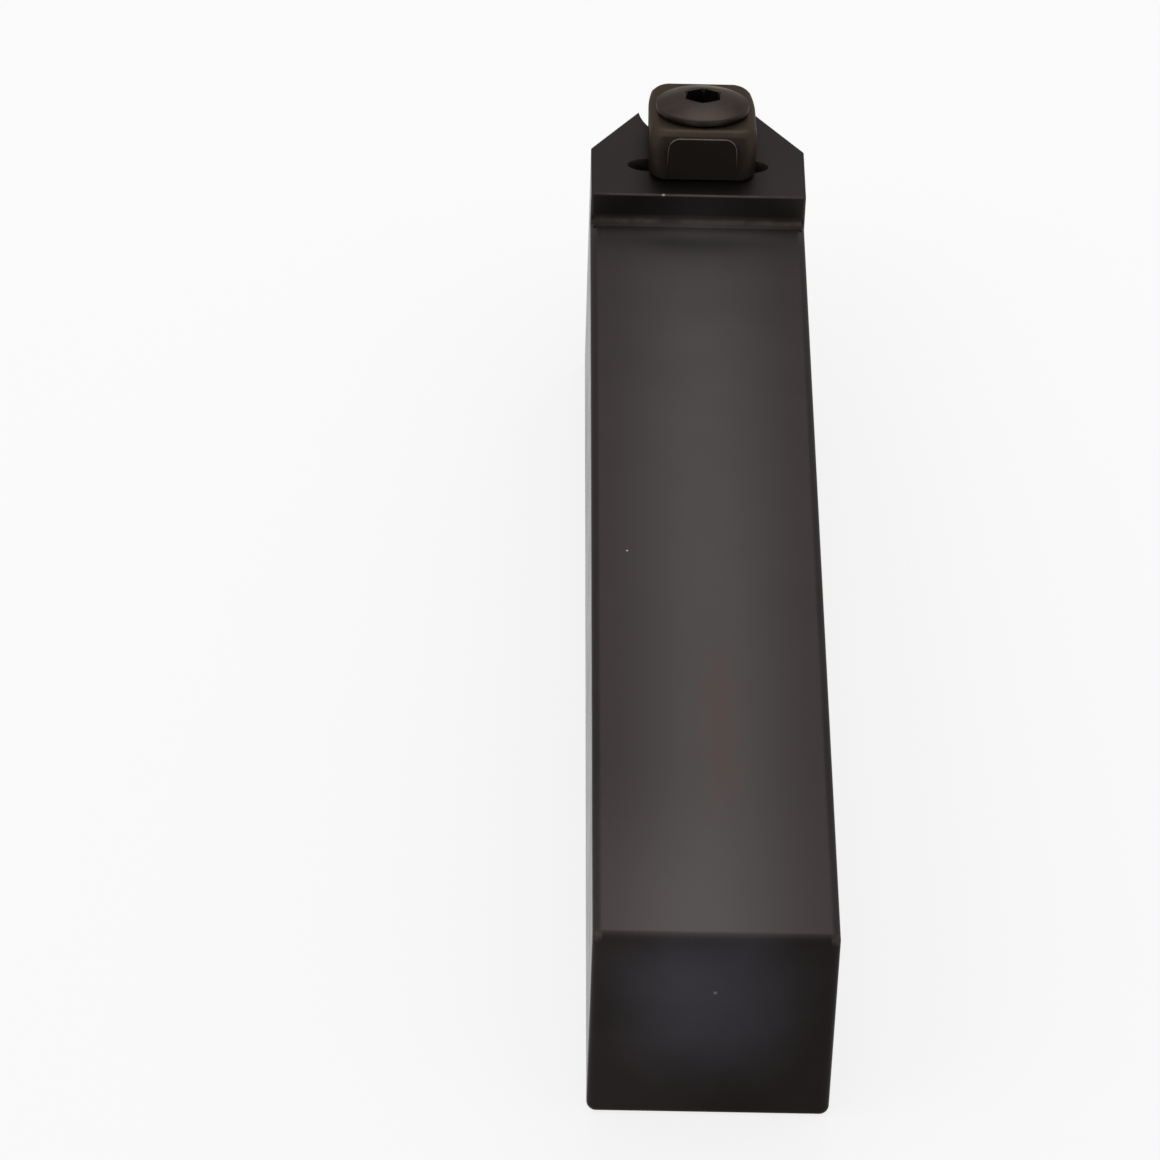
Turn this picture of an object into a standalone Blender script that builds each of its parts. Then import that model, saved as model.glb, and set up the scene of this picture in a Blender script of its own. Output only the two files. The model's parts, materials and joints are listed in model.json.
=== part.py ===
"""Turning tool holder: square shank, raised pointed head with a round seat, and its top clamp.

The shank lies along Y with the head at +Y and its underside on z = 0. The origin is the middle
of the underside of the whole holder. Sizes are in metres.
"""
import math

import bmesh
import bpy
from mathutils import Matrix, Vector

MM = 0.001

# Shank and head
SHANK_WIDTH = 25.0 * MM
SHANK_HEIGHT = 25.0 * MM
SHANK_LENGTH = 122.05 * MM  # rear face to the step up to the head
SHANK_EDGE = 1.0 * MM
HEAD_RISE = 3.9 * MM  # step height over the shank's top
HEAD_EDGE = 0.25 * MM
FOOT_FILLET = 1.1 * MM
FLANK_ANGLE = math.radians(36.5)  # head flank measured from the shank's axis
SEAT_FROM_STEP = 17.8 * MM  # step to the middle of the seat
FLANK_RELIEF = math.radians(4.0)  # flanks and nose lean back towards the underside
NOSE_RADIUS = 4.96 * MM  # round nose under the seat, tangent to both flanks at the head's face

# Seat for the insert: round side walls and a flat back wall
SEAT_RADIUS = 6.9 * MM
INSERT_THICKNESS = 4.76 * MM
SHIM_THICKNESS = 2.9 * MM
SHIM_RADIUS = 5.6 * MM
SHIM_BACK_GAP = 0.35 * MM  # shim's back edge to the seat's back wall
SEAT_WALL = 0.6 * MM  # metal between the clamp screw's hole and the seat
TOUCH_GAP = 0.3 * MM  # left between faces that touch

# Clamp screw, leaning forward over the seat
SCREW_TILT = math.radians(12.0)
SCREW_SETBACK = 8.55 * MM  # seat's middle back to the screw's axis on the head
CLAMP_SHIFT = 0.42 * MM  # clamp and screw sit a little right of the middle
SCREW_RADIUS = 2.5 * MM
SCREW_REACH = 10.5 * MM  # screw below the head's face
SCREW_TIP_CHAMFER = 0.6 * MM
HOLE_SPARE = 1.2 * MM  # hole below the screw's end
HEAD_RADIUS = 5.45 * MM
HEAD_RIM = 0.57 * MM
HEAD_CROWN = 1.2 * MM
RIM_CHAMFER = 0.12 * MM
NECK_RADIUS = 4.1 * MM  # cone under the head
KEY_SIZE = 4.0 * MM  # across the flats of the socket
SOCKET_DEPTH = 2.6 * MM
SOCKET_TURN = math.radians(-2.0)

# Cast clamp
CLAMP_WIDTH = 12.4 * MM
CLAMP_DRAFT = 0.1 * MM  # each side leans out by this at the top
CLAMP_BACK = 6.65 * MM  # screw's axis on the head to the clamp's rear foot
CLAMP_BACK_LEAN = 0.9 * MM
CLAMP_FRONT = 10.3 * MM  # screw's axis on the head to the block's front foot
CLAMP_FRONT_LEAN = 0.8 * MM
CLAMP_TAPER = 1.0 * MM  # each side runs in by this at the front
CLAMP_TAPER_FROM = 4.6 * MM  # screw's axis on the head to where the sides start to run in
CLAMP_HEIGHT = 5.05 * MM  # along the screw, head's face to the clamp's top
CLAMP_CORNER = 2.1 * MM
CLAMP_TOP_ROUND = 1.2 * MM
PANEL_WIDTH = 7.7 * MM
PANEL_HEIGHT = 5.2 * MM
PANEL_CORNER = 1.25 * MM
PANEL_DEPTH = 0.15 * MM
PANEL_SHIFT = -0.08 * MM
NOSE_WIDTH = 7.4 * MM
NOSE_REACH = 3.5 * MM  # past the seat's middle
NOSE_BACK_GAP = 0.6 * MM  # nose to the seat's back wall
NOSE_PAD_HEIGHT = 1.3 * MM
NOSE_ROUND = 0.4 * MM
INSERT_GAP = 0.25 * MM  # nose to the top of an insert

# Groove across the head, and the clamp's heel that stands in it
GROOVE_SETBACK = 3.25 * MM  # screw's axis on the head back to the groove
GROOVE_HALF_LENGTH = 8.25 * MM
GROOVE_DEPTH = 2.3 * MM
GROOVE_HALF_WIDTH = 1.25 * MM
HEEL_CLEARANCE = 0.3 * MM

# Lift spring round the screw
SPRING_WIRE = 0.5 * MM
SPRING_RADIUS = 3.35 * MM
SPRING_TURNS = 2.0
SPRING_ROOM = 2.3 * MM  # depth of the clamp's recess for it
SPRING_RECESS = 4.0 * MM

# Shim screw, upright in the middle of the seat
SHIM_SCREW_RADIUS = 1.75 * MM
SHIM_SCREW_HEAD = 2.9 * MM
SHIM_SCREW_CONE = 1.15 * MM
SHIM_SCREW_LENGTH = 9.0 * MM
SHIM_KEY_SIZE = 2.0 * MM
SHIM_SOCKET_DEPTH = 1.2 * MM
SHIM_SCREW_SUNK = 0.2 * MM

# Places that follow from the sizes
OVERALL_LENGTH = SHANK_LENGTH + SEAT_FROM_STEP + max(SHIM_RADIUS, NOSE_RADIUS)
REAR_Y = -OVERALL_LENGTH / 2
STEP_Y = REAR_Y + SHANK_LENGTH
SEAT_Y = STEP_Y + SEAT_FROM_STEP
HEAD_TOP = SHANK_HEIGHT + HEAD_RISE
SHIM_TOP = SHANK_HEIGHT - INSERT_THICKNESS
SEAT_FLOOR = SHIM_TOP - SHIM_THICKNESS - TOUCH_GAP
SCREW_Y = SEAT_Y - SCREW_SETBACK
HOLE_RADIUS = SCREW_RADIUS + TOUCH_GAP
BACK_WALL_Y = SCREW_Y + HOLE_RADIUS / math.cos(SCREW_TILT) + SEAT_WALL
CLAMP_FOOT = HEAD_TOP + TOUCH_GAP
NOSE_FOOT = SHANK_HEIGHT + INSERT_GAP
GROOVE_Y = SCREW_Y - GROOVE_SETBACK
GROOVE_RADIUS = (GROOVE_HALF_LENGTH ** 2 + GROOVE_DEPTH ** 2) / (2 * GROOVE_DEPTH)

# Along the screw's own axis, from the head's face upwards
NECK_DEPTH = NECK_RADIUS - SCREW_RADIUS
HEAD_SEAT = CLAMP_HEIGHT + TOUCH_GAP
RIM_TOP = HEAD_SEAT + HEAD_RIM
SPRING_CEILING = TOUCH_GAP + SPRING_ROOM
SCREW_FRAME = (Matrix.Translation((CLAMP_SHIFT, SCREW_Y, HEAD_TOP))
               @ Matrix.Rotation(-SCREW_TILT, 4, 'X'))

# Fineness of the round forms, in sides or steps
ROUND_SIDES = 48
FINE_SIDES = 32
DISC_SIDES = 128
EDGE_STEPS = 5
NOSE_STEPS = 16
FILLET_STEPS = 6
RIM_STEPS = 8
CROWN_STEPS = 8
SPRING_STEPS = 16  # for each turn
SHARP_ANGLE = math.radians(30)
CUT_PAST = 2.0 * MM  # cutters run this far past what they cut


def clear_scene():
    """Empties the file of objects."""
    for thing in list(bpy.data.objects):
        bpy.data.objects.remove(thing, do_unlink=True)


def new_collection(name):
    """Collection under the scene, for the parts or for the cutters."""
    group = bpy.data.collections.new(name)
    bpy.context.scene.collection.children.link(group)
    return group


def finish_material(name, colour, roughness, metallic):
    """Plain metal finish."""
    material = bpy.data.materials.new(name)
    material.use_nodes = True
    shader = material.node_tree.nodes["Principled BSDF"]
    shader.inputs["Base Color"].default_value = (*colour, 1.0)
    shader.inputs["Roughness"].default_value = roughness
    shader.inputs["Metallic"].default_value = metallic
    return material


def mesh_object(name, bm, group, material=None):
    """Object from a bmesh, smooth where its faces meet gently."""
    bmesh.ops.recalc_face_normals(bm, faces=bm.faces)
    mesh = bpy.data.meshes.new(name)
    bm.to_mesh(mesh)
    bm.free()
    mesh.shade_smooth()
    mesh.set_sharp_from_angle(angle=SHARP_ANGLE)
    thing = bpy.data.objects.new(name, mesh)
    group.objects.link(thing)
    if material:
        mesh.materials.append(material)
    return thing


def hide_guide(thing):
    """Shows a cutter or a joined form as a wire guide only."""
    thing.hide_render = True
    thing.display_type = 'WIRE'
    return thing


def combine(target, other, operation):
    """Cuts the other form from the target, or joins it on."""
    step = target.modifiers.new(operation.title() + " " + other.name, 'BOOLEAN')
    step.operation = operation
    step.object = other
    step.solver = 'EXACT'


def box_form(low, high):
    """Box as a bmesh between two corners."""
    bm = bmesh.new()
    size = Vector(high) - Vector(low)
    middle = (Vector(high) + Vector(low)) / 2
    place = Matrix.Translation(middle) @ Matrix.Diagonal((*size, 1.0))
    bmesh.ops.create_cube(bm, size=1.0, matrix=place)
    return bm


def rod_form(radius, low, high, sides, turn=0.0):
    """Upright rod as a bmesh, from one height to another."""
    bm = bmesh.new()
    place = Matrix.Translation((0, 0, (low + high) / 2)) @ Matrix.Rotation(turn, 4, 'Z')
    bmesh.ops.create_cone(bm, cap_ends=True, segments=sides, radius1=radius,
                          radius2=radius, depth=high - low, matrix=place)
    return bm


def upright_edges(bm):
    """Edges that run up and down."""
    return [edge for edge in bm.edges
            if abs(edge.verts[0].co.z - edge.verts[1].co.z) > edge.calc_length() * 0.9]


def round_edges(bm, edges, radius, steps):
    """Rounds some edges of a bmesh."""
    bmesh.ops.bevel(bm, geom=edges, offset=radius, offset_type='OFFSET', segments=steps,
                    profile=0.5, affect='EDGES')


def turned_object(name, outline, sides, group, material=None):
    """Turned shape from a half outline of (radius, height) points that runs top to bottom."""
    mesh = bpy.data.meshes.new(name)
    points = [(radius, 0.0, height) for radius, height in outline]
    mesh.from_pydata(points, [(i, i + 1) for i in range(len(points) - 1)], [])
    thing = bpy.data.objects.new(name, mesh)
    group.objects.link(thing)
    if material:
        mesh.materials.append(material)
    turn = thing.modifiers.new("Turn", 'SCREW')
    turn.steps = sides
    turn.render_steps = sides
    turn.use_merge_vertices = True
    turn.merge_threshold = 0.00001
    return thing


def head_outline(nose_radius):
    """Head seen from above: step corners, both flanks and the round nose between them."""
    half = SHANK_WIDTH / 2
    flank_y = SEAT_Y + (nose_radius - half * math.cos(FLANK_ANGLE)) / math.sin(FLANK_ANGLE)
    sweep = math.pi - 2 * FLANK_ANGLE
    angles = [FLANK_ANGLE + sweep * step / NOSE_STEPS for step in range(NOSE_STEPS + 1)]
    nose = [(nose_radius * math.cos(angle), SEAT_Y + nose_radius * math.sin(angle))
            for angle in angles]
    return [(half, STEP_Y), (half, flank_y), *nose, (-half, flank_y), (-half, STEP_Y)]


def shank_form():
    """Square shank with rounded edges; its front end is inside the head."""
    half = SHANK_WIDTH / 2
    bm = box_form((-half, REAR_Y, 0), (half, STEP_Y + HEAD_RISE, SHANK_HEIGHT))
    outer = [edge for edge in bm.edges if min(vertex.co.y for vertex in edge.verts) < STEP_Y]
    round_edges(bm, outer, SHANK_EDGE, EDGE_STEPS)
    return bm


def head_form():
    """Head from the underside up: its flanks and nose lean back below for clearance."""
    low_radius = NOSE_RADIUS - HEAD_TOP * math.tan(FLANK_RELIEF)
    bm = bmesh.new()
    ring = [bm.verts.new((x, y, 0.0)) for x, y in head_outline(low_radius)]
    bm.faces.new(ring)
    bmesh.ops.extrude_face_region(bm, geom=bm.faces[:])
    for vertex, (x, y) in zip(ring, head_outline(NOSE_RADIUS)):
        raised = next(edge.other_vert(vertex) for edge in vertex.link_edges
                      if edge.other_vert(vertex) not in ring)
        raised.co = (x, y, HEAD_TOP)
    bmesh.ops.recalc_face_normals(bm, faces=bm.faces)
    ahead = [edge for edge in bm.edges if max(vertex.co.y for vertex in edge.verts)
             > STEP_Y + SHANK_EDGE and max(vertex.co.z for vertex in edge.verts) < SHANK_EDGE]
    round_edges(bm, ahead, SHANK_EDGE, EDGE_STEPS)
    sharp = [edge for edge in bm.edges if edge.calc_face_angle() > SHARP_ANGLE
             and max(vertex.co.z for vertex in edge.verts) > SHANK_HEIGHT]
    round_edges(bm, sharp, HEAD_EDGE, 2)
    return bm


def foot_fillet_form():
    """Hollow fillet between the shank's top and the step, as a strip across the shank."""
    half = SHANK_WIDTH / 2 - SHANK_EDGE
    middle_y = STEP_Y - FOOT_FILLET
    middle_z = SHANK_HEIGHT + FOOT_FILLET
    section = [(STEP_Y + FOOT_FILLET, SHANK_HEIGHT - FOOT_FILLET),
               (STEP_Y + FOOT_FILLET, middle_z)]
    for step in range(FILLET_STEPS + 1):
        angle = -math.pi / 2 * step / FILLET_STEPS
        section.append((middle_y + FOOT_FILLET * math.cos(angle),
                        middle_z + FOOT_FILLET * math.sin(angle)))
    section.append((middle_y, SHANK_HEIGHT - FOOT_FILLET))
    bm = bmesh.new()
    ends = bm.faces.new([bm.verts.new((-half, y, z)) for y, z in section])
    raised = bmesh.ops.extrude_face_region(bm, geom=[ends])
    tops = [item for item in raised["geom"] if isinstance(item, bmesh.types.BMVert)]
    bmesh.ops.translate(bm, verts=tops, vec=(2 * half, 0, 0))
    return bm


def groove_outline(depth, half_width, reach):
    """Half outline of a round-rimmed disc whose rim cuts or fills the groove."""
    rim = GROOVE_RADIUS - GROOVE_DEPTH + depth
    points = [(0.0, half_width), (rim - reach, half_width)]
    for step in range(1, RIM_STEPS):
        angle = math.pi / 2 - math.pi * step / RIM_STEPS
        points.append((rim - reach + reach * math.cos(angle), half_width * math.sin(angle)))
    return points + [(rim - reach, -half_width), (0.0, -half_width)]


def groove_disc(name, depth, half_width, group):
    """Disc standing across the head, with its rim in the groove."""
    disc = turned_object(name, groove_outline(depth, half_width, half_width), DISC_SIDES, group)
    disc.location = (0.0, GROOVE_Y, HEAD_TOP + GROOVE_RADIUS - GROOVE_DEPTH)
    disc.rotation_euler = (math.pi / 2, 0.0, 0.0)
    return hide_guide(disc)


def seat_cutter(group):
    """Round seat closed at the back by a flat wall."""
    bm = rod_form(SEAT_RADIUS, SEAT_FLOOR, HEAD_TOP + CUT_PAST, ROUND_SIDES * 2)
    bmesh.ops.translate(bm, verts=bm.verts, vec=(0, SEAT_Y, 0))
    trim_behind(bm, BACK_WALL_Y)
    return hide_guide(mesh_object("seat_cutter", bm, group))


def trim_behind(bm, wall_y):
    """Cuts away what lies behind a wall across the part, and closes the cut."""
    cut = bmesh.ops.bisect_plane(bm, geom=bm.verts[:] + bm.edges[:] + bm.faces[:],
                                 plane_co=(0, wall_y, 0), plane_no=(0, 1, 0), clear_inner=True)
    rim = [item for item in cut["geom_cut"] if isinstance(item, bmesh.types.BMEdge)]
    bmesh.ops.edgenet_fill(bm, edges=rim)


def make_body(parts, cutters, material):
    """Holder body: shank, step, head, groove, seat and both tapped holes."""
    body = mesh_object("holder_body", shank_form(), parts, material)
    head = mesh_object("head_form", head_form(), cutters)
    combine(body, hide_guide(head), 'UNION')
    fillet = mesh_object("foot_fillet_form", foot_fillet_form(), cutters)
    combine(body, hide_guide(fillet), 'UNION')
    combine(body, groove_disc("groove_cutter", GROOVE_DEPTH, GROOVE_HALF_WIDTH, cutters),
            'DIFFERENCE')
    combine(body, seat_cutter(cutters), 'DIFFERENCE')

    bm = rod_form(HOLE_RADIUS, -SCREW_REACH - HOLE_SPARE, CUT_PAST, FINE_SIDES)
    hole = mesh_object("clamp_screw_hole", bm, cutters)
    hole.matrix_world = SCREW_FRAME
    combine(body, hide_guide(hole), 'DIFFERENCE')

    bottom = SHIM_TOP - SHIM_SCREW_SUNK - SHIM_SCREW_LENGTH - HOLE_SPARE
    bm = rod_form(SHIM_SCREW_RADIUS + TOUCH_GAP, bottom, SEAT_FLOOR + CUT_PAST, FINE_SIDES)
    hole = mesh_object("shim_screw_hole", bm, cutters)
    hole.location.y = SEAT_Y
    combine(body, hide_guide(hole), 'DIFFERENCE')
    return body


def clamp_top(y):
    """Height of the clamp's sloping top, square to the screw, at a place along the holder."""
    top = SCREW_FRAME @ Vector((0, 0, CLAMP_HEIGHT))
    return top.z - (y - top.y) * math.tan(SCREW_TILT)


def clamp_block():
    """Upper block of the clamp: sides that run in at the front, sloping top and soft edges."""
    back = SCREW_Y - CLAMP_BACK
    front = SCREW_Y + CLAMP_FRONT
    half = CLAMP_WIDTH / 2
    bm = box_form((-half, back, CLAMP_FOOT), (half, front, CLAMP_FOOT + CLAMP_HEIGHT))
    taper_from = SCREW_Y + CLAMP_TAPER_FROM
    bmesh.ops.bisect_plane(bm, geom=bm.verts[:] + bm.edges[:] + bm.faces[:],
                           plane_co=(0, taper_from, 0), plane_no=(0, 1, 0))
    for vertex in bm.verts:
        at_front = vertex.co.y > taper_from + TOUCH_GAP
        if at_front:
            vertex.co.x -= math.copysign(CLAMP_TAPER, vertex.co.x)
        if vertex.co.z > CLAMP_FOOT + CLAMP_HEIGHT / 2:
            vertex.co.x += math.copysign(CLAMP_DRAFT, vertex.co.x)
            if vertex.co.y < SCREW_Y:
                vertex.co.y += CLAMP_BACK_LEAN
            elif at_front:
                vertex.co.y -= CLAMP_FRONT_LEAN
            vertex.co.z = clamp_top(vertex.co.y)
    bmesh.ops.dissolve_limit(bm, angle_limit=SHARP_ANGLE / 30, verts=bm.verts, edges=bm.edges)
    corners = [edge for edge in upright_edges(bm) if edge.calc_face_angle() > SHARP_ANGLE]
    round_edges(bm, corners, CLAMP_CORNER, 6)
    middle = CLAMP_FOOT + CLAMP_HEIGHT / 3
    rim = [edge for edge in bm.edges if min(vertex.co.z for vertex in edge.verts) > middle
           and edge.calc_face_angle() > SHARP_ANGLE]
    round_edges(bm, rim, CLAMP_TOP_ROUND, 4)
    bmesh.ops.translate(bm, verts=bm.verts, vec=(CLAMP_SHIFT, 0, 0))
    return bm


def clamp_nose():
    """Tongue of the clamp that reaches down into the seat and presses on the insert."""
    back = BACK_WALL_Y + NOSE_BACK_GAP
    front = SEAT_Y + NOSE_REACH
    half = NOSE_WIDTH / 2
    shoulder = SCREW_Y + CLAMP_FRONT - CLAMP_FRONT_LEAN / 2
    bm = box_form((-half, back, NOSE_FOOT), (half, front, CLAMP_FOOT + CLAMP_HEIGHT / 4))
    for vertex in bm.verts:
        if vertex.co.z > CLAMP_FOOT and vertex.co.y > SEAT_Y:
            vertex.co.y = shoulder
    bmesh.ops.bisect_plane(bm, geom=bm.verts[:] + bm.edges[:] + bm.faces[:],
                           plane_co=(0, 0, NOSE_FOOT + NOSE_PAD_HEIGHT), plane_no=(0, 0, 1))
    for vertex in bm.verts:
        on_pad = abs(vertex.co.z - NOSE_FOOT - NOSE_PAD_HEIGHT) < TOUCH_GAP / 10
        if on_pad and vertex.co.y > SEAT_Y:
            vertex.co.y = front
    round_edges(bm, [edge for edge in bm.edges if edge.calc_face_angle() > SHARP_ANGLE / 2],
                NOSE_ROUND, 2)
    bmesh.ops.translate(bm, verts=bm.verts, vec=(CLAMP_SHIFT, 0, 0))
    return bm


def panel_cutter(group):
    """Flat ground in the clamp's back face, arched at the top."""
    half = PANEL_WIDTH / 2
    bm = box_form((-half, -CLAMP_BACK, -CUT_PAST), (half, PANEL_DEPTH, PANEL_HEIGHT))
    top = [edge for edge in bm.edges if min(vertex.co.z for vertex in edge.verts) > 0
           and abs(edge.verts[0].co.y - edge.verts[1].co.y) > CLAMP_BACK / 2]
    round_edges(bm, top, PANEL_CORNER, 5)
    lean = math.atan2(CLAMP_BACK_LEAN, clamp_top(SCREW_Y - CLAMP_BACK) - CLAMP_FOOT)
    cutter = mesh_object("panel_cutter", bm, group)
    cutter.location = (CLAMP_SHIFT + PANEL_SHIFT, SCREW_Y - CLAMP_BACK, CLAMP_FOOT)
    cutter.rotation_euler = (-lean, 0.0, 0.0)
    return hide_guide(cutter)


def make_clamp(parts, cutters, material):
    """Cast top clamp: block, nose and heel in one, bored for the screw and its spring."""
    clamp = mesh_object("clamp", clamp_block(), parts, material)
    nose = mesh_object("clamp_nose_form", clamp_nose(), cutters)
    combine(clamp, hide_guide(nose), 'UNION')

    heel = groove_disc("clamp_heel_form", GROOVE_DEPTH - HEEL_CLEARANCE,
                       GROOVE_HALF_WIDTH - HEEL_CLEARANCE, cutters)
    half = CLAMP_WIDTH / 2 - CLAMP_CORNER
    low = (CLAMP_SHIFT - half, GROOVE_Y - GROOVE_HALF_WIDTH, HEAD_TOP - GROOVE_DEPTH)
    high = (CLAMP_SHIFT + half, GROOVE_Y + GROOVE_HALF_WIDTH, CLAMP_FOOT + CLAMP_HEIGHT / 4)
    heel_length = hide_guide(mesh_object("clamp_heel_length", box_form(low, high), cutters))
    combine(heel, heel_length, 'INTERSECT')
    combine(clamp, heel, 'UNION')
    combine(clamp, panel_cutter(cutters), 'DIFFERENCE')

    bore = SCREW_RADIUS + TOUCH_GAP
    cone_top = NECK_RADIUS + TOUCH_GAP
    outline = [(0.0, CLAMP_HEIGHT + CUT_PAST), (cone_top, CLAMP_HEIGHT + CUT_PAST),
               (cone_top, CLAMP_HEIGHT), (bore, CLAMP_HEIGHT - NECK_DEPTH),
               (bore, SPRING_CEILING), (SPRING_RECESS, SPRING_CEILING),
               (SPRING_RECESS, -CUT_PAST), (bore, -CUT_PAST),
               (bore, -GROOVE_DEPTH - CUT_PAST), (0.0, -GROOVE_DEPTH - CUT_PAST)]
    cutter = turned_object("clamp_bore", outline, ROUND_SIDES, cutters)
    cutter.matrix_world = SCREW_FRAME
    combine(clamp, hide_guide(cutter), 'DIFFERENCE')
    return clamp


def crown_points(radius, height):
    """Points down the shallow crown of the screw's head, from its middle to its rim."""
    sphere = (radius ** 2 + height ** 2) / (2 * height)
    reach = math.asin(radius / sphere)
    angles = [reach * step / CROWN_STEPS for step in range(CROWN_STEPS + 1)]
    return [(sphere * math.sin(angle), RIM_TOP + height - sphere * (1 - math.cos(angle)))
            for angle in angles]


def make_clamp_screw(parts, cutters, material):
    """Clamp screw: crowned round head on a cone, plain shank and hexagon socket."""
    outline = crown_points(HEAD_RADIUS - RIM_CHAMFER, HEAD_CROWN)
    outline += [(HEAD_RADIUS, RIM_TOP - RIM_CHAMFER), (HEAD_RADIUS, HEAD_SEAT),
                (NECK_RADIUS, HEAD_SEAT), (SCREW_RADIUS, HEAD_SEAT - NECK_DEPTH),
                (SCREW_RADIUS, SCREW_TIP_CHAMFER - SCREW_REACH),
                (SCREW_RADIUS - SCREW_TIP_CHAMFER, -SCREW_REACH), (0.0, -SCREW_REACH)]
    screw = turned_object("clamp_screw", outline, ROUND_SIDES, parts, material)
    screw.matrix_world = SCREW_FRAME
    corner = KEY_SIZE / math.sqrt(3)
    crown = RIM_TOP + HEAD_CROWN
    bm = rod_form(corner, crown - SOCKET_DEPTH, crown + CUT_PAST, 6, SOCKET_TURN)
    socket = mesh_object("clamp_screw_socket", bm, cutters)
    socket.matrix_world = SCREW_FRAME
    combine(screw, hide_guide(socket), 'DIFFERENCE')
    return screw


def make_spring(parts, material):
    """Lift spring: round wire wound about the screw, from the head's face up to the clamp."""
    low = SPRING_WIRE / 2 + TOUCH_GAP / 2
    high = SPRING_CEILING - SPRING_WIRE / 2 - TOUCH_GAP / 2
    count = int(SPRING_TURNS * SPRING_STEPS)
    line = bpy.data.curves.new("lift_spring", 'CURVE')
    line.dimensions = '3D'
    line.bevel_depth = SPRING_WIRE / 2
    line.bevel_resolution = 2
    line.use_fill_caps = True
    coil = line.splines.new('POLY')
    coil.points.add(count)
    for step, point in enumerate(coil.points):
        angle = 2 * math.pi * step / SPRING_STEPS
        x = SPRING_RADIUS * math.cos(angle)
        y = SPRING_RADIUS * math.sin(angle)
        foot = low + y * math.tan(SCREW_TILT)
        point.co = (x, y, foot + (high - foot) * step / count, 1.0)
    spring = bpy.data.objects.new("lift_spring", line)
    spring.matrix_world = SCREW_FRAME
    line.materials.append(material)
    parts.objects.link(spring)
    return spring


def make_shim(parts, cutters, material):
    """Shim under the insert: round plate with a flat back and a countersunk hole."""
    bm = rod_form(SHIM_RADIUS, SHIM_TOP - SHIM_THICKNESS, SHIM_TOP, ROUND_SIDES * 2)
    bmesh.ops.translate(bm, verts=bm.verts, vec=(0, SEAT_Y, 0))
    trim_behind(bm, BACK_WALL_Y + SHIM_BACK_GAP)
    shim = mesh_object("shim", bm, parts, material)
    bore = SHIM_SCREW_RADIUS + TOUCH_GAP
    cone_top = SHIM_SCREW_HEAD + TOUCH_GAP
    top = SHIM_TOP - SHIM_SCREW_SUNK
    outline = [(0.0, SHIM_TOP + CUT_PAST), (cone_top, SHIM_TOP + CUT_PAST), (cone_top, top),
               (bore, top - SHIM_SCREW_CONE), (bore, SEAT_FLOOR - CUT_PAST),
               (0.0, SEAT_FLOOR - CUT_PAST)]
    cutter = turned_object("shim_hole", outline, FINE_SIDES, cutters)
    cutter.location.y = SEAT_Y
    combine(shim, hide_guide(cutter), 'DIFFERENCE')
    return shim


def make_shim_screw(parts, cutters, material):
    """Countersunk screw that holds the shim down, with a small hexagon socket."""
    top = SHIM_TOP - SHIM_SCREW_SUNK
    outline = [(0.0, top), (SHIM_SCREW_HEAD, top), (SHIM_SCREW_RADIUS, top - SHIM_SCREW_CONE),
               (SHIM_SCREW_RADIUS, top - SHIM_SCREW_LENGTH), (0.0, top - SHIM_SCREW_LENGTH)]
    screw = turned_object("shim_screw", outline, FINE_SIDES, parts, material)
    screw.location.y = SEAT_Y
    bm = rod_form(SHIM_KEY_SIZE / math.sqrt(3), top - SHIM_SOCKET_DEPTH, top + CUT_PAST, 6)
    socket = mesh_object("shim_screw_socket", bm, cutters)
    socket.location.y = SEAT_Y
    combine(screw, hide_guide(socket), 'DIFFERENCE')
    return screw


def main():
    """Builds the holder."""
    clear_scene()
    parts = new_collection("turning_tool_holder")
    cutters = new_collection("cutters")
    oxide = finish_material("black_oxide", (0.045, 0.040, 0.042), 0.45, 0.6)
    cast = finish_material("dark_cast_steel", (0.055, 0.042, 0.035), 0.5, 0.6)
    screw_steel = finish_material("dark_screw_steel", (0.060, 0.048, 0.042), 0.4, 0.7)
    spring_steel = finish_material("spring_steel", (0.35, 0.34, 0.33), 0.35, 1.0)
    carbide = finish_material("shim_carbide", (0.30, 0.30, 0.31), 0.45, 0.8)
    make_body(parts, cutters, oxide)
    make_clamp(parts, cutters, cast)
    make_clamp_screw(parts, cutters, screw_steel)
    make_spring(parts, spring_steel)
    make_shim(parts, cutters, carbide)
    make_shim_screw(parts, cutters, screw_steel)


main()
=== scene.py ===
"""Dresses the turning tool holder: fine forms and finishes for each piece, and the stage.

Laid out as an add-on and run as a script. The shank lies along Y with the head at +Y and stands
on z = 0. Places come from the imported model, sizes are the properties below, all in metres.
"""
import json
import math

import bmesh
import bpy
from bpy.props import FloatProperty, FloatVectorProperty, PointerProperty
from mathutils import Matrix, Vector


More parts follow.
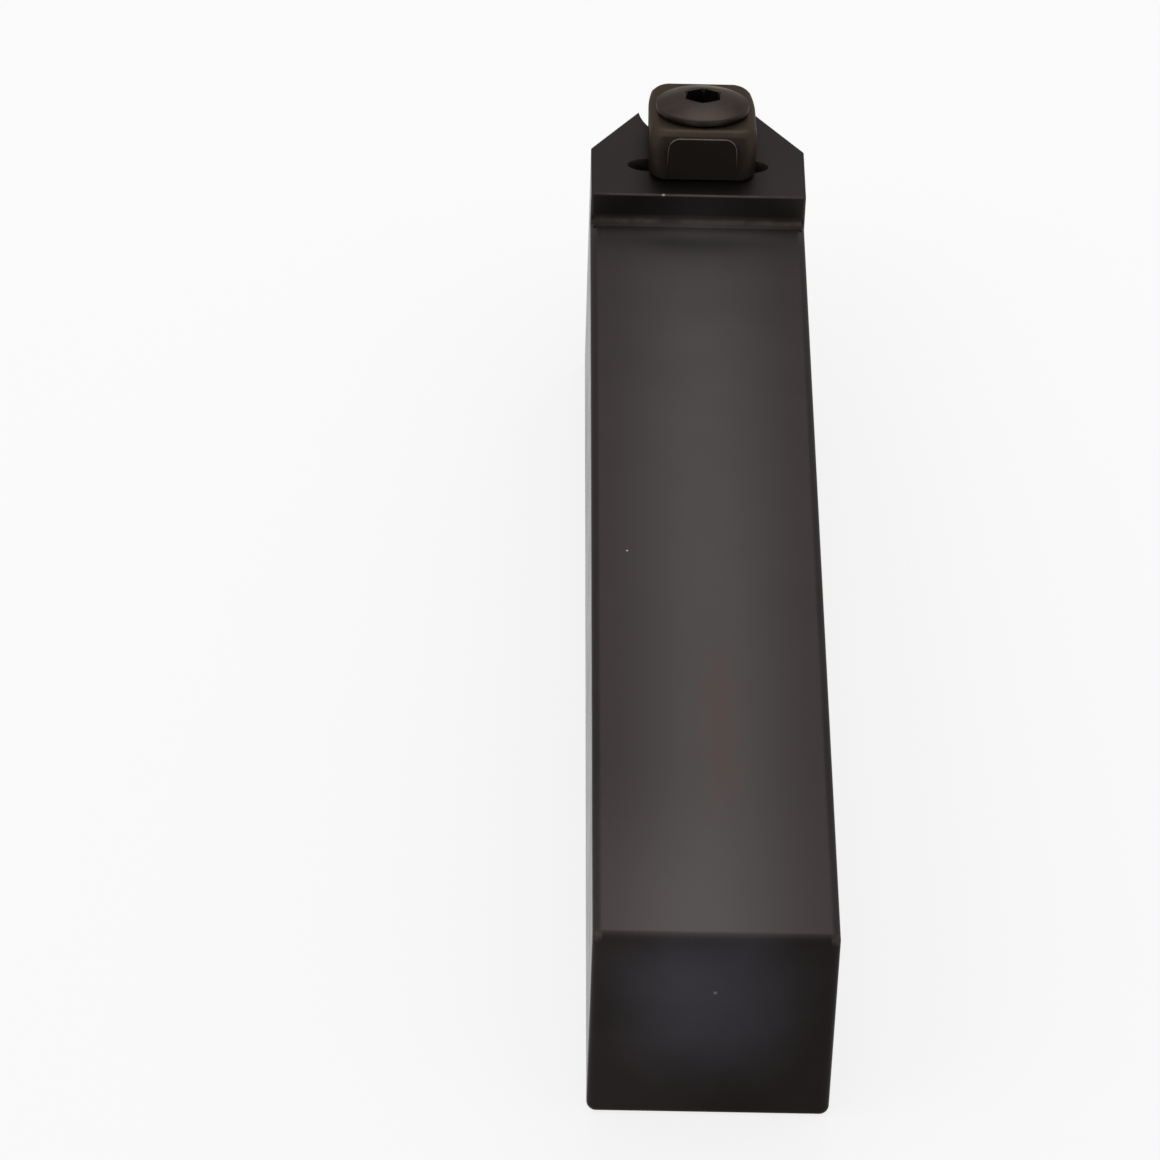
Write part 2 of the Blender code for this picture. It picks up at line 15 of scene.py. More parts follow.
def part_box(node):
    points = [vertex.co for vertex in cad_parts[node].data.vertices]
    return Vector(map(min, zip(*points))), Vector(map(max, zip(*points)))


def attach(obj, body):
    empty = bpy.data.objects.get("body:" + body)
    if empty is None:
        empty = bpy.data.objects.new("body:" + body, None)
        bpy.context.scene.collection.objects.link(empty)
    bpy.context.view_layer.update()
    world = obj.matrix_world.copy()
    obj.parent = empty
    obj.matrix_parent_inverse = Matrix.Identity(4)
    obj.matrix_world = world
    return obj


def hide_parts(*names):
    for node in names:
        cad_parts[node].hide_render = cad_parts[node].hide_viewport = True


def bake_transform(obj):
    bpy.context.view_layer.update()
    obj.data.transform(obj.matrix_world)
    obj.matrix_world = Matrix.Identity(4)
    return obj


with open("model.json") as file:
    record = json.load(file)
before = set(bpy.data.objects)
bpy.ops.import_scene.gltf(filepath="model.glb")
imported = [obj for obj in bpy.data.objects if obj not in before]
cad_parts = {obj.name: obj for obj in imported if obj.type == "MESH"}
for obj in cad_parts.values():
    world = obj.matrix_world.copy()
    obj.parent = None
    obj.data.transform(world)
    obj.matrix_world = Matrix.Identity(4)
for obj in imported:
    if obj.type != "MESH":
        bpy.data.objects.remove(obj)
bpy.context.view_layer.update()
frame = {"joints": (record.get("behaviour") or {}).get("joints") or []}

bl_info = {
    "name": "Turning Tool Holder",
    "version": (1, 0, 0),
    "blender": (4, 5, 0),
    "location": "View3D > Sidebar > Tool Holder",
    "description": "Builds a square shank turning tool holder with its top clamp",
    "category": "Add Mesh",
}

MM = 0.001

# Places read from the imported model
BODY_LOW, BODY_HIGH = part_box("holder_body")
SHIM_LOW, SHIM_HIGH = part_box("shim")
SHIM_SCREW_LOW, SHIM_SCREW_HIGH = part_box("shim_screw")
SCREW_JOINT = next(joint for joint in frame["joints"] if joint["name"] == "screw_turn")
SCREW_AXIS = Vector(SCREW_JOINT["axis"])
SCREW_FOOT = Vector(SCREW_JOINT["pos_m"])
SCREW_TILT = math.atan2(SCREW_AXIS.y, SCREW_AXIS.z)
SCREW_FRAME = Matrix.Translation(SCREW_FOOT) @ Matrix.Rotation(-SCREW_TILT, 4, 'X')
REAR_Y = BODY_LOW.y
HALF_WIDTH = BODY_HIGH.x
HEAD_TOP = BODY_HIGH.z
SEAT_Y = (SHIM_SCREW_LOW.y + SHIM_SCREW_HIGH.y) / 2
CLAMP_X = SCREW_FOOT.x
CLAMP_FACE = HEAD_TOP + 0.3 * MM
GROOVE_END = 9 * MM
PANEL_SPLAY = 0.2 * MM
CAMERA_PLACE = Vector((-23.84 * MM, -494.13 * MM, 416.92 * MM))

# Fineness of the forms
RING_POINTS = 96
EDGE_STEPS = 8
CORNER_STEPS = 4
WALL_STEPS = 4
HOLLOW_STEPS = 12
CROWN_STEPS = 10
SHARP_ANGLE = math.radians(40)
SMALLEST_ROUND = 0.02 * MM
DRILL_POINT = 0.05 * MM
WELD = 0.000001

# Room that forms and cutters take past the faces that they meet
OVERLAP = 3 * MM
PAST_FACE = 2 * MM
HOLE_SPARE = 1.2 * MM

# Widest strips along an edge that count as rubbed; on the body these strips also carry painted
# edge highlights
BODY_STRIP = 0.15 * MM
SHIM_STRIP = 0.2 * MM

# Facings at which a face is upright, a side of the shank, or a back face of the clamp that takes
# painted shade
UPRIGHT = 0.15
SIDE_FACING = (0.9, 1.0)
BACK_SHADE_FACING = (-0.78, -0.93)

# Free end of the foot fillet, as a share of the shank's edge radius
FILLET_END = 0.35

# Ground end of the spring's wire, as a share of its size
WIRE_END = 0.82

# Drilled floor, rounded mouth and dark depth of a socket, as shares of its key
SOCKET_DRILL = 0.36
SOCKET_MOUTH = 0.54
SOCKET_FADE = 0.12

# Limits between which the grain's mask changes a finish
GRAIN_LIMITS = (0.3, 0.7)
CLOUD_LIMITS = (0.35, 0.65)
PLACE_SOCKETS = ("Vector", "Place", "Stretch")

# Lamps measured from the middle of the shank's upper rear edge, in metres
SHEEN_LAMP = Vector((0.014, 0.26, 0.24))
SHEEN_SIDE = 0.16
SIDE_LAMP = Vector((-0.5, -0.2, 0.6))
SIDE_AIM = Vector((0, 0.07, 0))
SIDE_SIDE = 0.5
FLOOR_HALF = 2.0


def size(name, description, millimetres):
    """Length property, given in millimetres and kept in metres."""
    return FloatProperty(name=name, description=description, default=millimetres * MM,
                         min=0.0, precision=6, subtype='DISTANCE', unit='LENGTH')


def turn(name, description, degrees):
    """Angle property, given in degrees."""
    return FloatProperty(name=name, description=description, default=math.radians(degrees),
                         subtype='ANGLE', unit='ROTATION')


def shade(name, description, colour):
    """Colour property, in linear values."""
    return FloatVectorProperty(name=name, description=description, default=colour,
                               size=3, min=0.0, max=1.0, subtype='COLOR')


def power(name, description, watts):
    """Power property of a lamp."""
    return FloatProperty(name=name, description=description, default=watts, min=0.0,
                         unit='POWER')


class HolderSizes(bpy.types.PropertyGroup):
    """Sizes of the holder's steel body."""
    shank_height: size("Shank height", "Height of the square shank", 25.0)
    shank_length: size("Shank length", "Rear face to the step up to the head", 122.05)
    shank_edge: size("Shank edge", "Radius of the shank's long edges", 1.0)
    head_edge: size("Head edge", "Radius of the edges round the head's top", 0.25)
    corner_edge: size("Corner edge", "Radius of the head's upright corners", 0.35)
    foot_fillet: size("Foot fillet", "Hollow radius at the foot of the step", 1.1)
    flank_angle: turn("Flank angle", "Head flank measured from the shank's axis", 36.5)
    flank_relief: turn("Flank relief", "Lean of the flanks towards the underside", 4.0)
    nose_radius: size("Nose radius", "Round nose under the seat", 4.96)
    seat_radius: size("Seat radius", "Round side walls of the seat", 6.9)
    seat_wall: size("Seat wall", "Metal between the clamp screw's hole and the seat", 0.6)
    rim_chamfer: size("Rim chamfer", "Broken edge round the seat and the groove", 0.15)
    groove_setback: size("Groove setback", "Clamp screw's axis back to the groove", 3.25)
    groove_half_length: size("Groove half length", "Middle of the groove to its end", 8.25)
    groove_depth: size("Groove depth", "Depth in the middle", 2.3)
    groove_half_width: size("Groove half width", "Middle of the groove to its side", 1.25)


class ClampSizes(bpy.types.PropertyGroup):
    """Sizes of the cast top clamp."""
    width: size("Width", "Across the foot of the block", 12.4)
    draft: size("Draft", "Each side leans out by this at the top", 0.1)
    back: size("Back", "Screw's axis to the rear foot", 6.65)
    back_lean: size("Back lean", "Rear face leans forward by this", 0.9)
    front: size("Front", "Screw's axis to the front foot", 10.5)
    taper_from: size("Taper start", "Screw's axis to where the sides run in", 3.0)
    taper_radius: size("Taper radius", "Curve of the sides beyond it", 26.0)
    front_lean: size("Front lean", "Front face leans back by this", 0.8)
    height: size("Height", "Head's face to the top, along the screw", 5.05)
    corner: size("Corner", "Radius of the upright corners", 2.1)
    top_round: size("Top round", "Radius of the edge round the top", 1.2)
    foot_round: size("Foot round", "Radius of the edge round the foot", 0.15)
    panel_width: size("Panel width", "Flat ground in the rear face", 7.7)
    panel_height: size("Panel height", "Foot to the top of the flat", 5.2)
    panel_corner: size("Panel corner", "Radius of the flat's upper corners", 1.25)
    panel_shift: size("Panel shift", "Flat's middle left of the clamp's", 0.08)
    panel_depth: size("Panel depth", "Depth of the flat", 0.15)
    nose_width: size("Nose width", "Across the tongue over the insert", 7.4)
    nose_reach: size("Nose reach", "Past the seat's middle", 3.5)
    nose_back_gap: size("Nose back gap", "Tongue to the seat's back wall", 0.6)
    nose_pad: size("Nose pad", "Height of the tongue's upright end", 1.3)
    nose_round: size("Nose round", "Radius of the tongue's edges", 0.4)
    insert_gap: size("Insert gap", "Tongue to the top of an insert", 0.25)
    heel_clearance: size("Heel clearance", "Heel to the groove's walls", 0.3)


class ScrewSizes(bpy.types.PropertyGroup):
    """Sizes of the clamp screw."""
    shank_radius: size("Thread radius", "Outside of the thread", 2.5)
    pitch: size("Pitch", "Rise of the thread in one turn", 0.8)
    thread_depth: size("Thread depth", "Crest to root", 0.45)
    reach: size("Reach", "End of the screw below the head's face", 10.5)
    tip: size("Tip", "Chamfer at the end", 0.6)
    head_radius: size("Head radius", "Outside of the round head", 5.45)
    head_rim: size("Head rim", "Height of the head's side", 0.57)
    head_crown: size("Head crown", "Rise of the crowned top", 1.2)
    rim_round: size("Rim round", "Radius of the head's edges", 0.12)
    neck_radius: size("Neck radius", "Cone under the head", 4.1)
    key: size("Key", "Across the flats of the socket", 4.0)
    socket_depth: size("Socket depth", "Crown to the socket's floor", 2.6)
    socket_chamfer: size("Socket chamfer", "Broken edge at the socket's mouth", 0.12)
    socket_turn: turn("Socket turn", "A corner of the socket from the +X side", 28.0)
    head_gap: size("Head gap", "Head to the clamp's top", 0.08)
    spare: size("Running gap", "Screw to the clamp's bore", 0.3)


class SpringSizes(bpy.types.PropertyGroup):
    """Sizes of the lift spring."""
    wire: size("Wire", "Diameter of the wire", 0.5)
    radius: size("Radius", "Middle of the coil to the middle of the wire", 3.35)
    recess: size("Recess radius", "Clamp's recess round the spring", 4.0)
    room: size("Recess depth", "Depth of the clamp's recess", 2.3)
    gap: size("End gap", "Left above and below the spring", 0.3)


class ShimSizes(bpy.types.PropertyGroup):
    """Sizes of the shim and its screw."""
    radius: size("Shim radius", "Outside of the round shim", 5.6)
    back_gap: size("Back gap", "Shim to the seat's back wall", 0.35)
    edge: size("Edge", "Broken edge of the shim", 0.12)
    screw_radius: size("Screw radius", "Outside of the thread", 1.75)
    screw_head: size("Screw head", "Radius of the countersunk head", 2.9)
    screw_cone: size("Screw cone", "Height of the countersink", 1.15)
    key: size("Key", "Across the flats of the socket", 2.0)
    socket_depth: size("Socket depth", "Head to the socket's floor", 1.2)
    spare: size("Running gap", "Screw to the shim's hole", 0.3)


class FinishColours(bpy.types.PropertyGroup):
    """Colours of the finishes, among them painted light and painted shade."""
    # Painted sheen: this paler colour lies in the middle of each face, the next, browner one
    # towards its edges
    oxide: shade("Oxide", "Black oxide in the middle of a face", (0.049, 0.0438, 0.0438))
    oxide_outside_sheen: shade("Oxide near edges", "Browner oxide near the edges", (0.030, 0.0245, 0.0245))
    oxide_head: shade("Oxide of the head", "Darker milled head", (0.0225, 0.0190, 0.0182))
    # Painted light and shade on the rear face: this bluish colour is its pale patch in the upper
    # middle, the next one its darker rim and foot
    end_oxide_and_light: shade("Oxide of the end", "Bluish oxide of the rear face", (0.0345, 0.0322, 0.0382))
    end_rim_oxide_and_shade: shade("Oxide round the end", "Brown rim of the rear face", (0.0148, 0.0120, 0.0114))
    # Rubbed edges of the body, also painted highlights along them
    oxide_worn_and_highlight: shade("Worn oxide", "Rubbed edges of the body", (0.110, 0.092, 0.078))
    stain: shade("Stain", "Reddish stain on the shank", (0.058, 0.037, 0.032))
    bare: shade("Bare steel", "Nicks through the oxide", (0.42, 0.38, 0.34))
    cast: shade("Cast oxide", "Warm oxide of the clamp", (0.040, 0.030, 0.023))
    # Painted highlight: a pale line along the rim of the ground flat
    cast_edge_highlight: shade("Worn cast edge", "Rubbed edges of the clamp", (0.22, 0.165, 0.125))
    # Ground flat's colour, also laid as painted shade on every back-facing face of the clamp
    ground: shade("Ground flat", "Flat ground in the clamp's back", (0.024, 0.019, 0.016))
    screw: shade("Screw oxide", "Warm oxide of the screw", (0.0370, 0.0290, 0.0255))
    rub: shade("Rubbed crown", "Golden rub on the screw's crown", (0.240, 0.160, 0.090))
    soot: shade("Socket", "Oil and dust in the sockets", (0.028, 0.0245, 0.0235))
    # Painted shade: near-black colour laid inside the groove, darkest in its depth
    groove: shade("Groove", "Oil and dust in the groove", (0.006, 0.005, 0.005))
    spring: shade("Spring wire", "Drawn wire", (0.35, 0.34, 0.33))
    carbide: shade("Carbide", "Ground grey shim", (0.30, 0.30, 0.31))


class StageSettings(bpy.types.PropertyGroup):
    """Camera, lamps and floor."""
    azimuth: turn("Azimuth", "Camera's direction from +Y towards +X", 1.214)
    elevation: turn("Elevation", "Camera's direction below the horizon", 39.375)
    roll: turn("Roll", "Camera's lean", 1.879)
    lens: FloatProperty(name="Lens", description="Focal length on a 36 mm sensor",
                        default=178.13, min=1.0, subtype='DISTANCE_CAMERA', unit='CAMERA')
    sheen_power: power("Sheen lamp", "Lamp beyond the head, in watts", 0.18)
    side_power: power("Side lamp", "Lamp on the left, in watts", 0.8)
    sky: FloatProperty(name="Sky light", description="Soft light from all round", default=0.7,
                       min=0.0, max=2.0, subtype='FACTOR')
    floor: shade("Floor", "Pale floor", (0.86, 0.86, 0.86))


def sizes():
    """Property groups of the scene."""
    return bpy.context.scene.tool_holder


class ToolHolderProperties(bpy.types.PropertyGroup):
    """Everything that a user may change."""
    holder: PointerProperty(type=HolderSizes, name="Holder", description="Steel body")
    clamp: PointerProperty(type=ClampSizes, name="Clamp", description="Top clamp")
    screw: PointerProperty(type=ScrewSizes, name="Screw", description="Clamp screw")
    spring: PointerProperty(type=SpringSizes, name="Spring", description="Lift spring")
    shim: PointerProperty(type=ShimSizes, name="Shim", description="Shim and its screw")
    colours: PointerProperty(type=FinishColours, name="Colours", description="Finishes")
    stage: PointerProperty(type=StageSettings, name="Stage", description="Camera and light")


# Mesh helpers

def shade_evenly(mesh):
    """Smooth shading, with sharp edges where faces meet at a marked angle."""
    mesh.shade_smooth()
    mesh.set_sharp_from_angle(angle=SHARP_ANGLE)


def linked(name, data):
    """New object with its data, in the scene."""
    thing = bpy.data.objects.new(name, data)
    bpy.context.scene.collection.objects.link(thing)
    return thing


def object_from(name, bm):
    """Object from a bmesh, smooth where its faces meet gently."""
    bmesh.ops.recalc_face_normals(bm, faces=bm.faces)
    mesh = bpy.data.meshes.new(name)
    bm.to_mesh(mesh)
    bm.free()
    shade_evenly(mesh)
    return linked(name, mesh)


def finished(thing, material, body, slot, *nodes):
    """Gives a piece its material and its body, and hides the model's parts that it stands for; the
    slot is not used.
    """
    thing.data.materials.clear()
    thing.data.materials.append(material)
    normals = thing.modifiers.new("Even shading", 'WEIGHTED_NORMAL')
    normals.keep_sharp = True
    if body:
        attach(thing, body)
    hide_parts(*nodes)


def combine(target, other, operation):
    """Cuts the other form from the target or joins it on, and removes the other form."""
    step = target.modifiers.new(operation.title(), 'BOOLEAN')
    step.operation = operation
    step.object = other
    step.solver = 'EXACT'
    mesh = bpy.data.meshes.new_from_object(
        target.evaluated_get(bpy.context.evaluated_depsgraph_get()))
    target.modifiers.clear()
    target.data = mesh
    bpy.data.objects.remove(other, do_unlink=True)


def skin(bm, rings, closed=False, wrap=True):
    """Adds faces between neighbouring rings, all with the same number of points."""
    loops = [[bm.verts.new(point) for point in ring] for ring in rings]
    following = loops[1:] + loops[:1] if closed else loops[1:]
    for lower, upper in zip(loops, following):
        for index in range(len(lower) if wrap else len(lower) - 1):
            after = (index + 1) % len(lower)
            bm.faces.new((lower[index], lower[after], upper[after], upper[index]))
    return loops


def loft(rings, cap_ends=True, closed=False):
    """Bmesh skinned over rings of points, with flat ends or closed on itself."""
    bm = bmesh.new()
    loops = skin(bm, rings, closed)
    if cap_ends and not closed:
        bm.faces.new(loops[0])
        bm.faces.new(loops[-1])
    return bm


def bar(section, low, high):
    """Form with the same section, given along Y and Z, from one place along X to another."""
    return loft([[Vector((x, y, z)) for y, z in section] for x in (low, high)])


def even_angles(count=RING_POINTS):
    """Angles that part a full turn evenly."""
    return [2 * math.pi * step / count for step in range(count)]


def around(radius, angle, height):
    """Point at a distance and an angle about the upright axis."""
    return Vector((radius * math.cos(angle), radius * math.sin(angle), height))


def circle(radius, height):
    """Ring of points about the upright axis."""
    return [around(radius, angle, height) for angle in even_angles()]


def arc_points(centre, radius, start, end, steps):
    """Points along an arc in the plan."""
    return [(centre[0] + radius * math.cos(start + (end - start) * step / steps),
             centre[1] + radius * math.sin(start + (end - start) * step / steps))
            for step in range(steps + 1)]


def rounded_corner(before, corner, after, radius):
    """Points of a plan corner rounded by a tangent arc."""
    corner = Vector(corner)
    to_before = (Vector(before) - corner).normalized()
    to_after = (Vector(after) - corner).normalized()
    half = to_before.angle(to_after) / 2
    centre = corner + (to_before + to_after).normalized() * radius / math.sin(half)
    start = corner + to_before * radius / math.tan(half) - centre
    end = corner + to_after * radius / math.tan(half) - centre
    sweep = start.angle_signed(end)
    return [tuple(centre + Matrix.Rotation(-sweep * step / CORNER_STEPS, 2) @ start)
            for step in range(CORNER_STEPS + 1)]


def edge_rounding(radius, steps=CORNER_STEPS):
    """Insets and depths of points round an edge, from the wall to the face."""
    angles = [math.pi / 2 * step / steps for step in range(steps + 1)]
    return [(radius * (1 - math.cos(angle)), radius * (1 - math.sin(angle))) for angle in angles]


def rod(radius, low, high):
    """Upright rod."""
    return loft([circle(radius, low), circle(radius, high)])


def placed(bm, matrix):
    """Moves a bmesh by a matrix."""
    bmesh.ops.transform(bm, matrix=matrix, verts=bm.verts)
    return bm


def narrow_faces(mesh, widest):
    """Share of wear for each face: its slope if it is a narrow strip along an edge. On the body
    this also places painted edge highlights.
    """
    shares = []
    for face in mesh.polygons:
        rim = sum((mesh.vertices[face.vertices[i]].co
                   - mesh.vertices[face.vertices[i - 1]].co).length
                  for i in range(len(face.vertices)))
        slope = 1 - max(abs(part) for part in face.normal)
        narrow = rim > 0 and 2 * face.area / rim < widest
        shares.append(min(slope / (1 - math.sqrt(0.5)), 1.0) if narrow else 0.0)
    return shares


def mark_wear(thing, shares):
    """Stores each face's share of wear for its material."""
    layer = thing.data.attributes.new("worn", 'FLOAT', 'FACE')
    layer.data.foreach_set("value", shares)


def mark_socket(thing, to_screw, key, mouth):
    """Marks the faces inside a screw's socket, deeper ones more."""
    shares = []
    fade = key * SOCKET_FADE
    for face in thing.data.polygons:
        spot = to_screw @ face.center
        inside = math.hypot(spot.x, spot.y) < key / 2 / math.cos(math.pi / 6) and spot.z < mouth
        deep = mouth - spot.z < key
        shares.append(min((mouth - spot.z) / fade, 1.0) if inside and deep else 0.0)
    mark_wear(thing, shares)


# Holder body

def step_place():
    """Place along Y of the step up to the head."""
    return REAR_Y + sizes().holder.shank_length


def hole_radius():
    """Radius of the clamp screw's hole in the body and of its bore in the clamp."""
    return sizes().screw.shank_radius + sizes().screw.spare


def seat_back():
    """Place along Y of the seat's flat back wall, clear of the clamp screw's hole."""
    return SCREW_FOOT.y + hole_radius() / math.cos(SCREW_TILT) + sizes().holder.seat_wall


def head_outline(height, inset):
    """Head seen from above at a height, set in by a margin: step, flanks and round nose."""
    part = sizes().holder
    step_y = step_place() + inset
    half = HALF_WIDTH - inset
    radius = part.nose_radius - (HEAD_TOP - height) * math.tan(part.flank_relief) - inset
    angle = part.flank_angle
    flank_y = SEAT_Y + (radius - half * math.cos(angle)) / math.sin(angle)
    nose = arc_points((0.0, SEAT_Y), radius, angle, math.pi - angle, RING_POINTS // 2)
    right = (rounded_corner((0, step_y), (half, step_y), (half, flank_y), part.corner_edge)
             + rounded_corner((half, step_y), (half, flank_y), nose[0], part.corner_edge))
    left = [(-x, y) for x, y in reversed(right)]
    return right + nose + left


def shank_ring(place, inset):
    """Section of the shank at a place along it, set in by a margin."""
    part = sizes().holder
    radius = max(part.shank_edge - inset, SMALLEST_ROUND)
    across, high = HALF_WIDTH - inset - radius, part.shank_height - inset - radius
    low = inset + radius
    corners = [(across, high, 0.0), (-across, high, 0.5), (-across, low, 1.0), (across, low, 1.5)]
    return [Vector((x, place, z)) for x_mid, z_mid, quarter in corners
            for x, z in arc_points((x_mid, z_mid), radius, quarter * math.pi,
                                   (quarter + 0.5) * math.pi, EDGE_STEPS)]


def shank_form():
    """Square shank with rounded edges; its front end is inside the head."""
    rear = [shank_ring(REAR_Y + depth, inset)
            for inset, depth in reversed(edge_rounding(sizes().holder.shank_edge, EDGE_STEPS))]
    return loft(rear + [shank_ring(step_place() + OVERLAP, 0.0)])


def head_form():
    """Head from the underside up: its flanks and nose lean back below for clearance."""
    part = sizes().holder
    levels = [(depth, inset)
              for inset, depth in reversed(edge_rounding(part.shank_edge, EDGE_STEPS))]
    levels += [(HEAD_TOP - depth, inset) for inset, depth in edge_rounding(part.head_edge)]
    return loft([[Vector((x, y, height)) for x, y in head_outline(height, inset)]
                 for height, inset in levels])


def foot_fillet_form():
    """Hollow fillet between the shank's top and the step, as a strip across the shank."""
    part = sizes().holder
    radius = part.foot_fillet
    step_y, top = step_place(), part.shank_height
    half = HALF_WIDTH - part.shank_edge * FILLET_END
    hollow = arc_points((step_y - radius, top + radius), radius, 0.0, -math.pi / 2, HOLLOW_STEPS)
    section = ([(step_y + radius, top - radius), (step_y + radius, top + radius)] + hollow
               + [(step_y - radius, top - radius)])
    return bar(section, -half, half)


def groove_rings(depth, half_width):
    """Rings of a disc that stands across the head, with its round rim in the groove."""
    part = sizes().holder
    wheel = (part.groove_half_length ** 2 + part.groove_depth ** 2) / (2 * part.groove_depth)
    rim = wheel - part.groove_depth + depth - half_width
    profile = arc_points((rim, 0.0), half_width, math.pi / 2, -math.pi / 2, 2 * EDGE_STEPS)
    centre = Vector((0.0, SCREW_FOOT.y - part.groove_setback,
                     HEAD_TOP + wheel - part.groove_depth))
    return [[centre + Vector((radius * math.sin(angle), across, -radius * math.cos(angle)))
             for angle in even_angles(RING_POINTS * 4)] for radius, across in profile]


def seat_outline(grow):
    """Seat seen from above, grown by a margin: round side walls and a flat back wall."""
    radius = sizes().holder.seat_radius + grow
    reach = math.asin((seat_back() - grow - SEAT_Y) / radius)
    return arc_points((0.0, SEAT_Y), radius, reach, math.pi - reach, RING_POINTS)


def seat_form():
    """Cutter for the seat, flared at the top so that its rim is a broken edge."""
    chamfer = sizes().holder.rim_chamfer
    floor = SHIM_LOW.z - sizes().screw.spare
    wide = chamfer + 0.5 * MM
    heights = [(0.0, floor), (0.0, HEAD_TOP - chamfer)]
    for angle in (math.radians(30), math.radians(60)):
        heights.append((chamfer * (1 - math.cos(angle)),
                        HEAD_TOP - chamfer + chamfer * math.sin(angle)))
    heights += [(wide, HEAD_TOP + 0.3 * MM), (wide, HEAD_TOP + PAST_FACE)]
    return loft([[Vector((x, y, z)) for x, y in seat_outline(grow)] for grow, z in heights])


def groove_mouth(edge):
    """True for the sharp edges round the groove's mouth."""
    part = sizes().holder
    near = all(abs(vertex.co.z - HEAD_TOP) < WELD * 10
               and abs(vertex.co.y - SCREW_FOOT.y + part.groove_setback)
               < part.groove_half_width * 1.1 for vertex in edge.verts)
    return near and len(edge.link_faces) == 2 and edge.calc_face_angle() > SHARP_ANGLE / 2


def body_form():
    """Holder body: shank, step, head, groove, seat and both screw holes."""
    part, screw, shim = sizes().holder, sizes().screw, sizes().shim
    groove = loft(groove_rings(part.groove_depth, part.groove_half_width))
    hole = placed(rod(hole_radius(), -screw.reach - HOLE_SPARE, PAST_FACE), SCREW_FRAME)
    shim_hole = placed(rod(shim.screw_radius + shim.spare, SHIM_SCREW_LOW.z - HOLE_SPARE,
                           SHIM_LOW.z + MM), Matrix.Translation((0, SEAT_Y, 0)))
    body = object_from("holder_body_fine", shank_form())
    for name, form, operation in (("head", head_form(), 'UNION'),
                                  ("foot fillet", foot_fillet_form(), 'UNION'),
                                  ("groove", groove, 'DIFFERENCE'),
                                  ("seat", seat_form(), 'DIFFERENCE'),
                                  ("clamp screw hole", hole, 'DIFFERENCE'),
                                  ("shim screw hole", shim_hole, 'DIFFERENCE')):
        combine(body, object_from(name, form), operation)
    return body


class TOOLHOLDER_OT_body(bpy.types.Operator):
    """Builds the steel body: square shank, raised head, groove and seat"""
    bl_idname = "toolholder.body"
    bl_label = "Holder body"

    def execute(self, context):
        body = body_form()
        bm = bmesh.new()
        bm.from_mesh(body.data)
        mouth = [edge for edge in bm.edges if groove_mouth(edge)]
        if not mouth:
            raise RuntimeError("The groove has no mouth on the head's face")
        bmesh.ops.bevel(bm, geom=mouth, offset=sizes().holder.rim_chamfer / 2,
                        offset_type='OFFSET', segments=2, profile=0.5, affect='EDGES')
        bm.to_mesh(body.data)
        bm.free()
        shade_evenly(body.data)
        shares = narrow_faces(body.data, BODY_STRIP)
        for face in body.data.polygons:
            if abs(face.normal.z) < UPRIGHT and face.center.y > SCREW_FOOT.y:
                shares[face.index] = 0.0
        mark_wear(body, shares)
        finished(body, body_material(), "holder", "black_oxide", "holder_body")
        return {'FINISHED'}


# Clamp

def clamp_top(y):
    """Height of the clamp's sloping top at a place along the holder."""
    top = SCREW_FRAME @ Vector((0, 0, sizes().clamp.height))
    return top.z - (y - top.y) * math.tan(SCREW_TILT)


def block_ring(rise, inset, drop):
    """Rounded rectangle round the clamp: a share of its height, set in and dropped."""
    part = sizes().clamp
    half = part.width / 2 + part.draft * rise - inset
    back = SCREW_FOOT.y - part.back + part.back_lean * rise + inset
    front = SCREW_FOOT.y + part.front - part.front_lean * rise - inset
    radius = max(part.corner - inset, 0.3 * MM)
    bend = RING_POINTS // 8
    corners = ((half - radius, front - radius, 0.0), (radius - half, front - radius, 0.5),
               (radius - half, back + radius, 1.0), (half - radius, back + radius, 1.5))
    arcs = [arc_points((x, y), radius, start * math.pi, (start + 0.5) * math.pi, bend)
            for x, y, start in corners]
    ring = []
    for arc, following in zip(arcs, arcs[1:] + arcs[:1]):
        (x, y), (next_x, next_y) = arc[-1], following[0]
        straight = [(x + (next_x - x) * step / bend, y + (next_y - y) * step / bend)
                    for step in range(1, bend)]
        ring += [Vector((CLAMP_X + x * run_in(y, half), y,
                         CLAMP_FACE + (clamp_top(y) - CLAMP_FACE) * rise - drop))
                 for x, y in arc + straight]
    return ring


def run_in(y, half):
    """Share of the clamp's half width that is left where its sides curve in to the front."""
    part = sizes().clamp
    past = max(y - SCREW_FOOT.y - part.taper_from, 0.0)
    return 1 - past ** 2 / (2 * part.taper_radius * half)


def bore_ring(like, radius, height):
    """Ring round the screw's axis with points towards those of another ring.

    Without a height, it lies in the plane of the clamp's underside.
    """
    back = SCREW_FRAME.inverted()
    ring = []
    for point in like:
        local = back @ point
        angle = math.atan2(local.y, local.x)
        x, y = radius * math.cos(angle), radius * math.sin(angle)
        underside = (CLAMP_FACE - SCREW_FOOT.z + y * math.sin(SCREW_TILT)) / math.cos(SCREW_TILT)
        ring.append(SCREW_FRAME @ Vector((x, y, underside if height is None else height)))
    return ring


def mixed(first, second, amount):
    """Ring between two rings."""
    return [a.lerp(b, amount) for a, b in zip(first, second)]


